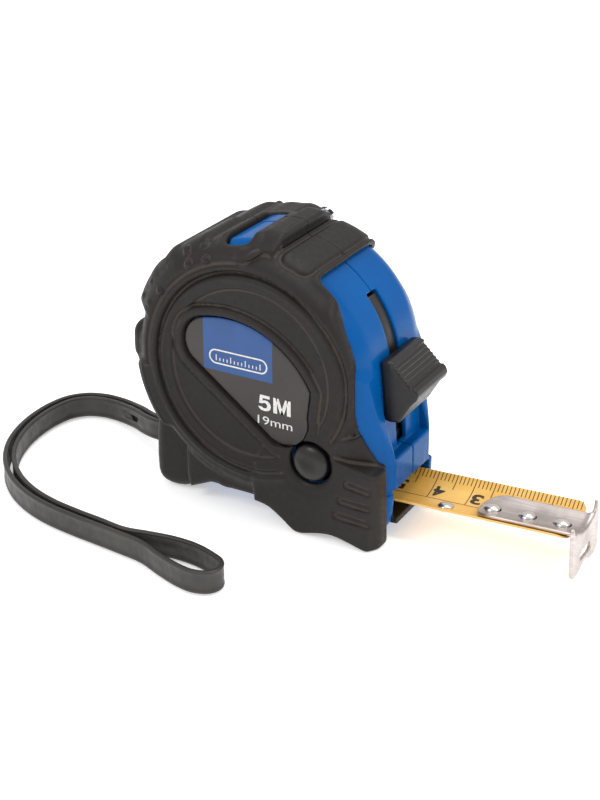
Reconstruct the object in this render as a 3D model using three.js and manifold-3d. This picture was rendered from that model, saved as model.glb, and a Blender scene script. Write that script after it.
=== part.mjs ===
// Pocket tape measure: a 5 m x 19 mm steel blade in a two-part ABS case with moulded rubber jackets.
// Millimetres, +Z up. The blade pulls out along +X, the label side faces -Y and the belt clip is on +Y.
// Everything is drawn about the reel axle first (x, y from the axle, w = height from the axle) and then
// moved so that the origin is the centre of the underside of the bounding box.
import * as THREE from "three";
import { mergeVertices } from "three/addons/utils/BufferGeometryUtils.js";
import Module from "manifold-3d";

const wasm = await Module();
wasm.setup();

// ---------------------------------------------------------------- driving dimensions
const AXLE_H = 38.9;        // axle height above the table
const GAP = 0.3;            // clearance between touching pieces
const HALF_W = 20.0;        // half width over the rubber jackets
const SIDE_Y = 17.8;        // outer side faces of the ABS case
const CASE_R = 28.7;        // radius of the ABS drum
const JACKET_R = 31.4;      // radius over the rubber
const HUMP_R = 34.0;        // radius over the rear grip humps
const NOSE_X = 34.0;        // front face of the case, from the axle
const NOSE_HALF = 12.5;     // half width of the nose
const KEEL_HALF = 11.0;     // half width of the blade channel housing
const CHANNEL_HALF = 9.6;   // half width of the blade channel
const REEL_R = 12.4;        // outer radius of the reel drum
const FLANGE_R = 23.4;      // reel flanges
const COIL_R = 21.6;        // wound blade
const COIL_HALF = 9.5;      // half width of the wound blade
const AXLE_R = 2.6;
const BLADE_TROUGH_R = 13.1; // curvature of the blade's cross-section
const BLADE_T = 0.35;
const BLADE_HALF_ARC = 9.5; // half of the 19 mm width, along the curve
const BLADE_PITCH = 2.8;    // degrees, the blade rises towards its hook
const ZERO_X = 77.5;        // zero mark, from the axle
const ZERO_W = -30.3;       // bottom of the trough at the zero mark
const BLADE_FRONT = -1.8;   // ends of the straight stretch, from the zero mark
const BLADE_BACK = -60.0;
const BUTTON = [16.5, -19.2];
const BUTTON_R = 4.7;
const SLIDER_HALF = 8.45;
const HOOK_HALF = 8.5;
const HOOK_T = 0.9;
const STRAP_W = 6.0;        // strap width, standing on edge
const STRAP_T = 1.3;
const STRAP_RUN = 1.1;      // each run's offset from the loop's centre line

// ---------------------------------------------------------------- helpers
const { PI, sin, cos, hypot, min, max } = Math;
const rad = (d) => (d * PI) / 180;
const polar = (r, deg) => [r * cos(rad(deg)), r * sin(rad(deg))];

function solid(geometry) {
  const g = geometry.index ? geometry.toNonIndexed() : geometry;
  g.deleteAttribute("normal");
  g.deleteAttribute("uv");
  const m = mergeVertices(g, 1e-4);
  return new wasm.Manifold(
    new wasm.Mesh({
      numProp: 3,
      vertProperties: new Float32Array(m.attributes.position.array),
      triVerts: new Uint32Array(m.index.array),
    }),
  );
}
function add(first, ...rest) {
  return rest.reduce((a, b) => a.add(b), first);
}
function cut(first, ...rest) {
  return rest.reduce((a, b) => a.subtract(b), first);
}
// A side outline (x, w) pushed through from y0 to y1, with optional rounded rims.
function slab(points, y0, y1, round = 0, inset = 0, steps = 2) {
  const c = points.reduce((s, [x, w], i) => {
    const [u, v] = points[(i + 1) % points.length];
    return s + x * v - u * w;
  }, 0);
  const line = (c > 0 ? points : points.slice().reverse()).map(([x, w]) => new THREE.Vector2(x, w));
  const n = line.length;
  // each point moved inwards by d, along the bisector of its two sides
  const moved = (d) =>
    line.map((p, i) => {
      const a = line[(i + n - 1) % n], b = line[(i + 1) % n];
      const u = p.clone().sub(a).normalize(), v = b.clone().sub(p).normalize();
      const k = min(1 / max(1 + u.dot(v), 0.4), 2);
      return new THREE.Vector2(p.x - (u.y + v.y) * k * d, p.y + (u.x + v.x) * k * d);
    });
  const rings = [];
  if (round > 0) {
    for (let i = 0; i <= steps; i++) {
      const t = (i / steps) * (PI / 2);
      rings.push([y0 + round * (1 - cos(t)), moved(inset * (1 - sin(t)))]);
    }
    for (let i = steps; i >= 0; i--) {
      const t = (i / steps) * (PI / 2);
      rings.push([y1 - round * (1 - cos(t)), moved(inset * (1 - sin(t)))]);
    }
  } else rings.push([y0, line], [y1, line]);
  const v = [], idx = [];
  for (const [y, ps] of rings) for (const p of ps) v.push(p.x, y, p.y);
  for (let k = 0; k < rings.length - 1; k++)
    for (let i = 0; i < n; i++) {
      const a = k * n + i, b = k * n + ((i + 1) % n);
      idx.push(a, b, b + n, a, b + n, a + n);
    }
  const caps = THREE.ShapeUtils.triangulateShape(line, []);
  const e = (rings.length - 1) * n;
  for (const [a, b, c2] of caps) idx.push(a, c2, b, e + a, e + b, e + c2);
  const flip = [];
  for (let i = 0; i < idx.length; i += 3) flip.push(idx[i], idx[i + 2], idx[i + 1]);
  const make = (list) => {
    const g = new THREE.BufferGeometry();
    g.setAttribute("position", new THREE.BufferAttribute(new Float32Array(v), 3));
    g.setIndex(list);
    return solid(g);
  };
  const m = make(idx);
  return m.volume() > 0 ? m : make(flip);
}
function disc(r, y0, y1, x = 0, w = 0, n = 32) {
  const g = new THREE.CylinderGeometry(r, r, y1 - y0, n);
  g.rotateY(PI / n);
  g.translate(x, (y0 + y1) / 2, w);
  return solid(g);
}
// Rounded-rim disc about the Y axis.
function lens(profile, n = 48) {
  const g = new THREE.LatheGeometry(
    profile.map(([r, y]) => new THREE.Vector2(r, y)),
    n,
  );
  return solid(g);
}
function box(x0, x1, y0, y1, w0, w1) {
  const g = new THREE.BoxGeometry(x1 - x0, y1 - y0, w1 - w0);
  g.translate((x0 + x1) / 2, (y0 + y1) / 2, (w0 + w1) / 2);
  return solid(g);
}
// A ring segment in side view.
function arcPoints(r0, r1, a0, a1, n) {
  const p = [];
  for (let i = 0; i <= n; i++) p.push(polar(r1, a0 + ((a1 - a0) * i) / n));
  for (let i = n; i >= 0; i--) p.push(polar(r0, a0 + ((a1 - a0) * i) / n));
  return p;
}
function circlePoints(r, n, x = 0, w = 0) {
  return Array.from({ length: n }, (_, i) => {
    const [a, b] = polar(r, (360 * i) / n);
    return [a + x, b + w];
  });
}
// A cross-section outline (y, w) pushed along x.
// (x, y) outline raised along Z
function upright(points, w0, w1) {
  return wasm.Manifold.extrude([points], w1 - w0).translate([0, 0, w0]);
}
function beam(points, x0, x1) {
  const shape = new THREE.Shape(points.map(([y, w]) => new THREE.Vector2(y, w)));
  const g = new THREE.ExtrudeGeometry(shape, { depth: x1 - x0, bevelEnabled: false, curveSegments: 1 });
  // local x, y, z become y, z, x
  g.applyMatrix4(new THREE.Matrix4().set(0, 0, 1, x0, 1, 0, 0, 0, 0, 1, 0, 0, 0, 0, 0, 1));
  return solid(g);
}
// A strip along a polyline in side view, with constant thickness.
function stripPoints(line, t) {
  const left = [], right = [];
  line.forEach((p, i) => {
    const a = line[max(0, i - 1)], b = line[min(line.length - 1, i + 1)];
    const l = hypot(b[0] - a[0], b[1] - a[1]);
    const n = [-(b[1] - a[1]) / l, (b[0] - a[0]) / l];
    left.push([p[0] + (n[0] * t) / 2, p[1] + (n[1] * t) / 2]);
    right.unshift([p[0] - (n[0] * t) / 2, p[1] - (n[1] * t) / 2]);
  });
  return [...right.reverse(), ...left.reverse()].reverse();
}

const pieces = []; // [name, manifold, material, isCord]
const put = (name, m, mat, cord = false) => pieces.push([name, m, mat, cord]);

// ---------------------------------------------------------------- materials
const mat = (color, roughness, metalness = 0) => new THREE.MeshStandardMaterial({ color, roughness, metalness });
const blueAbs = mat(0x0b5fb4, 0.28);
const rubber = mat(0x3f3b38, 0.72);
const labelPlastic = mat(0x46413e, 0.5);
const blackPlastic = mat(0x34302e, 0.55);
const reelPlastic = mat(0x2a2c30, 0.6);
const bladeYellow = mat(0xe3b558, 0.42, 0.1);
const springSteel = mat(0x8d9299, 0.35, 1);
const bareSteel = mat(0xb9b2ae, 0.4, 1);
const screwSteel = mat(0x9a9da2, 0.38, 1);
const strapRubber = mat(0x2f2c2a, 0.66);
const brakeRubber = mat(0x55504a, 0.85);

// ---------------------------------------------------------------- case
const chin = (g) => [
  [8, 6], [28 + g, -4], [30.6 + g, -12], [31.4 + g, -17], [31.4 + g, -34.2 - g], [28, -35 - g],
  [14 - g, -35 - g], [8 - g, -31.4 - g], [-9 + g, -31.4 - g], [-15 - g, -27], [-12 - g, 0],
];
const noseLine = (g) => [
  [16, 4], [28.6 + g, 2.5], [30 + g, -5], [32 + g, -12], [33.4 + g, -16], [NOSE_X + g, -18.5],
  [NOSE_X + g, -35.2 - g], [30, -36.4 - g], [16, -36.4 - g],
];
const keelPoints = (g) => [
  [-29.2 - g, -24], [-29.2 - g, -35.4], [-27.6, -37.3 - g], [29.4, -37.3 - g], [31.0 + g, -36.2], [31.0 + g, -24],
];
const lugs = [[-15.6, 26.0, 2.5], [-24.4, -22.0, 3.0], [2.4, 29.0, 2.4]];
const CLIP_SCREW = [-3, 16.6];
function caseOuter(g) {
  const y = SIDE_Y + g, r = CASE_R + g;
  const drum = lens(
    [[0, -y], [r - 3.6, -y], [r - 1.5, -y + 1.3], [r - 0.3, -y + 3.2], [r, -NOSE_HALF], [r, 10.6 + g],
     [r - 0.9, 13.3 + g], [r - 2.2, 15.3 + g], [r - 4.4, 16.9 + g], [r - 7.4, y], [0, y]], 48);
  return add(
    drum,
    slab(chin(g), -16.5 - g, 16.5 + g),
    slab(noseLine(g), -NOSE_HALF - g, NOSE_HALF + g, 0.8, 0.6, 1),
    slab(keelPoints(g), -KEEL_HALF - g, KEEL_HALF + g),
    slab(circlePoints(7.9 + g, 24, ...BUTTON), -17.8 - g, -14),
    ...lugs.map(([x, w, r0]) => disc(r0 + g, -13.2 - g, 13.2 + g, x, w, 16)),
  );
}
// Seen from above the case narrows towards its front: half widths of the ABS shell and of the rubber over it.
const planEdge = [[-60, 20.0], [19.5, 17.9], [23, 17.3], [26, 16.0], [28.4, 14.5], [30.6, 12.9], [32.2, 11.4], [33.4, 10.0], [34.05, 9.2]];
const planOutline = (grow) => {
  const e = planEdge.map(([x, y]) => [x + (x > 33 ? 0.6 * grow : 0), y + grow]);
  return [...e.map(([x, y]) => [x, -y]), ...e.slice().reverse()];
};
const noseFoot = [[20, -18], [28, -14.8], [31.5, -13.0], [33.4, -12.3], [34.05, -11.3], [34.05, 10.6], [33.2, 12.0], [31.5, 13.0], [28, 14.8], [20, 18]];
const shellPlan = add(upright(planOutline(0), -60, 60), upright(noseFoot, -60, -27.2));
// the slider's floor, cut back into the front of the case
const floorTop = [28.3, 9.0], floorBottom = [31.0, -19.0];
let shell = cut(
  caseOuter(0),
  // reel chamber
  lens([[0, -16.2], [24.5, -16.2], [25.6, -14.8], [26.8, -12], [26.8, 12], [25.6, 14.8], [24.5, 16.2], [0, 16.2]], 48),
  // space in the chin beside the blade channel
  slab([[10, 0], [26.5, -4], [28.8, -11], [29.6, -17], [29.6, -32.4], [27.5, -33.2], [14.7, -33.2], [8.8, -29.6],
    [-8.6, -29.6], [-13.4, -25.8], [-10, 0]], -14.8, 14.8),
  // blade channel and mouth
  box(-27.4, 35.5, -CHANNEL_HALF, CHANNEL_HALF, -35.9, -26.7),
  // channel that the lock slider runs in
  slab([floorTop, [31, 9.6], [40, 9.6], [40, -18.2], floorBottom], -9.1, 9.1),
  // slot for the lock's leg, in the middle of the front
  slab(arcPoints(24, 31, -6, 40, 10), -2.3, 2.3),
  box(24, 33, -2.3, 2.3, -18.4, 2),
  // button bore and the pocket behind it
  disc(5.05, -20, -14, ...BUTTON, 32),
  disc(6.9, -16.0, -11, ...BUTTON, 32),
  // strap pocket at the rear
  box(-36, -24.0, -3.2, 3.2, -37.6 + 2.0, -25.2),
);
shell = add(shell, // axle seats
  disc(5.0, -17, -12.6, 0, 0, 24), disc(5.0, 12.6, 17, 0, 0, 24));
shell = cut(shell, disc(AXLE_R + GAP, -16.1, 20, 0, 0, 24),
  disc(4.2, 15.6, 20, 0, 0, 24),
  // screw holes: clearance in the far half and the near half
  ...lugs.map(([x, w]) => disc(1.5, -11.5, 20, x, w, 12)),
  ...lugs.map(([x, w]) => disc(2.7, 11.6, 20, x, w, 16)));
shell = cut(shell, disc(1.5, 15, 20, ...CLIP_SCREW, 12));
// strap pin
const PIN = [-27.2, -30.2];
shell = cut(shell, disc(1.5 + GAP, -5.6, 5.6, ...PIN, 16));
shell = shell.intersect(shellPlan);
put("case_near", shell.intersect(box(-60, 60, -40, -GAP / 2, -60, 60)), blueAbs);
put("case_far", shell.intersect(box(-60, 60, GAP / 2, 40, -60, 60)), blueAbs);

// ---------------------------------------------------------------- rubber jackets
const R = JACKET_R;
const jacketDrum = lens(
  [[0, -HALF_W], [R - 3.6, -HALF_W], [R - 1.9, -HALF_W + 1.2], [R - 0.7, -HALF_W + 3.4], [R, -13], [R, 13],
   [R - 0.7, HALF_W - 3.4], [R - 1.9, HALF_W - 1.2], [R - 3.6, HALF_W], [0, HALF_W]], 52);
const hump = (a0, a1, r, half, n) => slab(arcPoints(27, r, a0, a1, n), -half, half, 3.4, 2.2, 2);
const frontFoot = [
  [4, -14], [26, -12], [29.4, -9.5], [31.6, -12.6], [33.3, -16.1], [33.3, -36.4], [32.3, -AXLE_H], [29.2, -AXLE_H],
  [24.6, -37.6], [20, -37.2], [16.2, -AXLE_H], [12.9, -AXLE_H], [10.8, -37.4], [6.6, -33.6], [0, -33.4],
];
const underside = [[8, -20], [8, -33.5], [-6, -33.6], [-8.5, -34.6], [-11.5, -34.4], [-16, -36.4], [-19.5, -37.2], [-19.5, -20]];
const rearFoot = [
  [-16, -18], [-28.6, -14], [-30.6, -22], [-31, -34.2], [-30, -37.4], [-27.6, -AXLE_H], [-23, -AXLE_H],
  [-20.4, -37.8], [-16, -36.2], [-10, -34.6], [-6, -20],
];
let jacket = add(
  // the rubber is thinner over the front of the drum
  cut(jacketDrum, slab(arcPoints(29.9, 40, -70, 78, 14), -22, 22)),
  hump(111, 128, HUMP_R, 15.4, 4), hump(128, 150, HUMP_R, 15.8, 5), hump(150, 163, HUMP_R - 0.2, 15.8, 4),
  hump(166, 184, HUMP_R + 0.9, 15.8, 5),
  // the rubber is thick round the lower rear
  hump(184, 216, HUMP_R + 0.3, 17.0, 6),
  hump(80, 91, 33.3, 14.2, 4),
  slab(frontFoot, 12.9, 19.9, 0.9, 0.7, 1), slab(frontFoot, -19.9, -12.9, 0.9, 0.7, 1),
  slab(underside, -18.6, 18.6, 1.2, 1.0, 1),
  slab(rearFoot, -15.6, 15.6, 1.2, 0.9, 1),
);
// the front opening that leaves the ABS face bare
const bareFront = [
  [15.6, 33], [16.6, 27.0], [18.0, 24.2], [22.4, 18.2], [26.4, 10.8], [28.4, 1.5], [27.4, -2.4], [28.6, -7],
  [31.1, -11.9], [33.3, -16.1], [34.5, -16.6], [34.5, -60], [60, -60], [60, 45], [15.6, 45],
];
const labelEdge = (g) => {
  // teardrop: a small upper-left end, a lower-right end, the drum's curve between them and a straight lower edge
  const p = [];
  const arc = (cx, cw, r, a0, a1, n) => {
    for (let i = 0; i <= n; i++) {
      const [x, w] = polar(r + g, a0 + ((a1 - a0) * i) / n);
      p.push([cx + x, cw + w]);
    }
  };
  arc(-11.3, 5.6, 6.6, 225, 106, 7);
  arc(-6.0, -12.0, 24.9, 100, 26, 9);
  arc(9.2, -9.9, 6.6, 16, -135, 8);
  return p.reverse();
};
jacket = cut(
  jacket,
  caseOuter(GAP),
  slab(bareFront, -30, 30),
  // windows over the top: one wide, one small
  slab(arcPoints(26, 37, 95.5, 109.5, 4), -12.6, 12.6),
  slab(arcPoints(26, 37, 131.5, 143, 4), -13.4, 13.4),
  // label wells, right through the side
  slab(labelEdge(0), -25, -16), slab(labelEdge(0), 16, 25),
  // button hole
  disc(5.5, -25, -15, ...BUTTON, 32),
  // screw heads and the clip's foot on the far side
  ...lugs.map(([x, w]) => disc(2.7, 11, 30, x, w, 16)),
  disc(1.5, 16, 30, ...CLIP_SCREW, 12),
  // strap slot at the rear
  box(-40, -24.0, -3.4, 3.4, -37.6 + 1.8, -25.0),
  // three shallow grip grooves on each front foot
  ...[[25.6, 33.0, -22.4], [24.0, 32.8, -26.8], [22.8, 32.4, -30.9]].flatMap(([x0, x1, w]) => [
    box(x0, x1 - 0.5, -20.5, -19.4, w - 0.5, w + 0.5), box(x0, x1 - 0.5, 19.4, 20.5, w - 0.5, w + 0.5)]),
  // the step around the side disc
  ...[-1, 1].map((s) => {
    const a = s < 0 ? [-20.5, -19.3] : [19.3, 20.5];
    return cut(disc(25.6, a[0], a[1], 0, 0, 36), disc(24.6, a[0] - 1, a[1] + 1, 0, 0, 36))
      .intersect(box(-40, 21, -30, 30, -19, 40));
  }),
);
// the rubber follows the narrowing front; only the near side's foot stands out to the full width
const jacketPlan = add(
  upright(planOutline(1.9), -60, 60),
  box(20, 40, -20, -12.9, -60, -15.2));
jacket = jacket.intersect(jacketPlan);
// on the far side the rubber stops further back and its rim over the front is rounder
const bareFar = [
  [19, 40], [17.2, 28], [15.4, 24.6], [13, 21], [12.5, 17], [14.5, 12], [17, 6], [18.5, 0], [18.5, -6], [20, -12],
  [24, -16.2], [30, -17.2], [60, -17.3], [60, 40],
];
const farRim = lens([[0, 5], [30.2, 5], [30.2, 11.0], [29.4, 13.8], [27.9, 16.0], [25.6, 17.9], [22.5, 18.9], [0, 18.9]], 52);
jacket = cut(jacket, slab(bareFar, 11.5, 30), cut(slab(arcPoints(18, 42, 52, 96, 8), 9, 30), farRim));
put("jacket_near", jacket.intersect(box(-60, 60, -40, -GAP / 2, -60, 60)), rubber);
put("jacket_far", jacket.intersect(box(-60, 60, GAP / 2, 40, -60, 60)), rubber);

// ---------------------------------------------------------------- labels
put("label_near", slab(labelEdge(-GAP), -19.3, -18.15), labelPlastic);
put("label_far", slab(labelEdge(-GAP), 18.15, 19.3), labelPlastic);

// ---------------------------------------------------------------- reel
put("axle_post", cut(disc(AXLE_R, -15.8, 15.2, 0, 0, 24), box(-0.35, 0.35, -7.6, 7.6, 0.2, 4), disc(1.2, 6, 16, 0, 0, 12)), screwSteel);
put("reel_drum", add(
  cut(disc(REEL_R, -9.9, 9.9, 0, 0, 40), disc(REEL_R - 1.4, -11, 8.7, 0, 0, 40)),
  cut(disc(FLANGE_R, 9.9, 11.0, 0, 0, 40)),
  disc(4.4, 8.7, 11.9, 0, 0, 24),
).subtract(disc(AXLE_R + GAP, -20, 20, 0, 0, 24)), reelPlastic);
put("reel_flange", cut(
  add(disc(FLANGE_R, -11.3, -10.2, 0, 0, 40), disc(4.4, -11.9, -9.6, 0, 0, 24)),
  disc(AXLE_R + GAP, -20, 20, 0, 0, 24)), reelPlastic);
// wound blade: a ring with the step of its outer end
const coilOuter = [];
for (let i = 0; i < 56; i++) coilOuter.push(polar(COIL_R - 0.5 * (i / 56), -104 + (360 * i) / 56));
put("blade_coil", cut(slab(coilOuter, -COIL_HALF, COIL_HALF), disc(REEL_R + GAP, -20, 20, 0, 0, 40)), bladeYellow);
// power spring: a flat spiral between the axle and the drum
{
  const line = [], turns = 3.25, n = 72;
  for (let i = 0; i <= n; i++) {
    const t = i / n;
    line.push(polar(3.7 + 6.6 * t, 90 + 360 * turns * t));
  }
  put("power_spring", slab(stripPoints(line, 0.5), -7.8, 7.8), springSteel);
}
put("axle_washer_near", cut(disc(4.6, -12.45, -12.05, 0, 0, 20), disc(AXLE_R + GAP, -20, 20, 0, 0, 20)), springSteel);
put("axle_washer_far", cut(disc(4.6, 12.05, 12.45, 0, 0, 20), disc(AXLE_R + GAP, -20, 20, 0, 0, 20)), springSteel);

// ---------------------------------------------------------------- blade, drawn along its own length from the zero mark
const arcSection = (r0, r1, half, n, rc = BLADE_TROUGH_R) => {
  // (y, w) outline of a curved strip whose centre of curvature is rc above w = 0
  const p = [];
  const a = half / rc;
  for (let i = 0; i <= n; i++) {
    const t = -a + (2 * a * i) / n;
    p.push([r1 * sin(t), rc - r1 * cos(t)]);
  }
  for (let i = n; i >= 0; i--) {
    const t = -a + (2 * a * i) / n;
    p.push([r0 * sin(t), rc - r0 * cos(t)]);
  }
  return p;
};
const pitch = new THREE.Matrix4().makeRotationY(-rad(BLADE_PITCH));
const toBlade = (m) => {
  // places a solid drawn along the blade into the case frame
  const e = new THREE.Matrix4().makeTranslation(ZERO_X, 0, ZERO_W).multiply(pitch).elements;
  return m.transform(Array.from(e));
};
const rivetX = [-22.4, -13.5, -4.9];
const SPARE = [-33.6, -1.9];
const ry = 0;
let blade = beam(arcSection(BLADE_TROUGH_R, BLADE_TROUGH_R + BLADE_T, BLADE_HALF_ARC, 12), BLADE_BACK, BLADE_FRONT);
const zCyl = (r, x, y, w0, w1, n = 14) => {
  const g = new THREE.CylinderGeometry(r, r, w1 - w0, n);
  g.rotateX(PI / 2);
  g.translate(x, y, (w0 + w1) / 2);
  return solid(g);
};
blade = cut(blade, ...rivetX.map((x) => zCyl(1.05 + GAP, x, ry, -3, 3)), zCyl(0.9 + GAP, SPARE[0], SPARE[1], -3, 3));
// rounded front corners
for (const s of [-1, 1]) {
  blade = blade.subtract(
    cut(box(BLADE_FRONT - 2.2, BLADE_FRONT + 1, s < 0 ? -10 : 6.5, s < 0 ? -6.5 : 10, -1, 6),
      zCyl(2.6, BLADE_FRONT - 2.4, s * 6.2, -2, 7, 24)));
}
put("blade", toBlade(blade), bladeYellow);
// hook: a curved strip on the blade, bent down into the end plate
let strap = beam(arcSection(BLADE_TROUGH_R - GAP - HOOK_T, BLADE_TROUGH_R - GAP, 5.9, 8), -25.6, 0.9);
strap = cut(strap, box(-30, -23.6, -10, 10, -3, 8).subtract(zCyl(5.6, -20.3, 0, -4, 9, 28)));
const plateTop = [];
for (let i = 0; i <= 10; i++) {
  const y = -7.1 + (14.2 * i) / 10;
  plateTop.push([y, 0.35 + BLADE_TROUGH_R - Math.sqrt((BLADE_TROUGH_R - 0.6) ** 2 - y * y)]);
}
const plate = [
  [-HOOK_HALF, -7.2], [-7.6, -8.2], [-5.0, -8.2], [-2.8, -7.7], [-0.6, -6.9], [0.8, -6.9], [2.6, -7.9], [5.6, -8.2], [7.8, -7.4], [HOOK_HALF, -5.8],
  [HOOK_HALF, 4.3], [8.1, 4.9], [7.5, 4.9],
  ...plateTop.slice().reverse(),
  [-7.5, 4.9], [-8.1, 4.9], [-HOOK_HALF, 4.3],
];
let endPlate = beam(plate, 0, HOOK_T);
endPlate = cut(endPlate, beam([[-3.4, -4.6], [-3.0, -5.5], [-2.2, -5.8], [2.2, -5.8], [3.0, -5.5], [3.4, -4.6], [3.0, -3.7], [2.2, -3.4], [-2.2, -3.4], [-3.0, -3.7]], -1, 2));
let hook = add(strap, endPlate);
hook = cut(hook, ...rivetX.map((x) => add(zCyl(1.05 + GAP, x - 0.9, ry, -3, 5), zCyl(1.05 + GAP, x + 0.9, ry, -3, 5),
  box(x - 0.9, x + 0.9, ry - 1.05 - GAP, ry + 1.05 + GAP, -3, 5))));
put("end_hook", toBlade(hook), bareSteel);
rivetX.forEach((x, i) =>
  put("hook_rivet_" + (i + 1), toBlade(add(zCyl(1.05, x, ry, -1.0, 1.9), zCyl(1.95, x, ry, 1.72, 2.5, 18), zCyl(1.7, x, ry, -1.1, -0.65, 14))), bareSteel));
put("blade_rivet", toBlade(add(zCyl(0.9, SPARE[0], SPARE[1], -0.8, 1.0), zCyl(1.95, SPARE[0], SPARE[1], 0.75, 1.35, 18), zCyl(1.5, SPARE[0], SPARE[1], -0.9, -0.5, 12))), bareSteel);

// ---------------------------------------------------------------- lock
const slope = (floorBottom[0] - floorTop[0]) / (floorTop[1] - floorBottom[1]);
const floorX = (w) => floorTop[0] + slope * (floorTop[1] - w) + GAP;
const sliderSide = [
  [floorX(5.5), 5.5], [31.6, 5.6], [32.7, 4.6], [33.4, 3.4], [34.4, 2.9], [35.0, 1.8], [36.0, 1.3], [36.6, 0.3], [37.6, -0.4],
  [38.2, -1.4], [38.1, -2.6], [36.7, -4.4], [34.0, -9.2], [floorX(-9.2), -9.4],
];
put("lock_slider", add(
  slab(sliderSide, -SLIDER_HALF, SLIDER_HALF, 0.5, 0.4, 1),
  slab([[28.2, 1.2], [31.5, 1.2], [31.5, -6.6], [28.9, -6.6], [28.9, -16.4], [25.7, -16.4], [25.7, -5], [27.4, -3]], -1.9, 1.9),
), blackPlastic);
put("lock_shoe", slab([[23.6, -16.8], [28.6, -16.8], [28.6, -21.6], [27.0, -22.2], [24.8, -22.2], [23.6, -21.0]], -7, 7), brakeRubber);
put("lock_strip", slab(arcPoints(25.0, 25.9, 8, 46, 8), -4.2, 4.2), blackPlastic);

// ---------------------------------------------------------------- brake button
put("brake_button", add(
  lens([[0, -20.9], [2.2, -20.75], [3.9, -20.3], [BUTTON_R, -19.5], [BUTTON_R, -15.4], [6.4, -15.4], [6.4, -14.4], [0, -14.4]], 32),
).translate([BUTTON[0], 0, BUTTON[1]]), blackPlastic);

// ---------------------------------------------------------------- mouth
put("mouth_bumper", slab([[29, -35.65], [34.2, -35.65], [34.6, -35.3], [34.6, -34.3], [34.3, -34.0], [29, -34.0]].reverse(), -9.3, 9.3), rubber);

// ---------------------------------------------------------------- fasteners
lugs.forEach(([x, w], i) =>
  put("case_screw_" + (i + 1), cut(add(disc(2.3, 11.9, 13.3, x, w, 20), disc(1.15, -8.5, 12, x, w, 12)),
    box(x - 1.5, x + 1.5, 12.9, 14, w - 0.25, w + 0.25)), screwSteel));
put("axle_screw", cut(add(disc(3.6, 15.9, 17.2, 0, 0, 20), disc(0.9, 8, 16, 0, 0, 12)), box(-2.2, 2.2, 16.7, 18, -0.3, 0.3)), screwSteel);

// ---------------------------------------------------------------- belt clip on the far side
const clipFoot = slab([[-9, 12.6], [3, 12.6], [3, 19.3], [-9, 19.3]], 20.35, 21.25);
put("clip_plate", cut(clipFoot, disc(1.3 + GAP, 19, 23, ...CLIP_SCREW, 16)), bareSteel);
put("clip_screw", add(disc(2.5, 21.55, 22.6, ...CLIP_SCREW, 20), disc(1.2, 16.6, 22, ...CLIP_SCREW, 12)), screwSteel);
{
  const line = [[21.25, 20.7], [21.7, 21.7], [22.9, 22.4], [24.3, 22.1], [25.2, 21.0], [25.5, 19.4], [25.3, 4], [23.6, -14], [22.8, -17.5], [23.2, -19.6], [24.8, -22.0]];
  const g = beam(stripPoints(line, 0.9), -9, 3);
  put("belt_clip", g, bareSteel);
}

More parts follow.
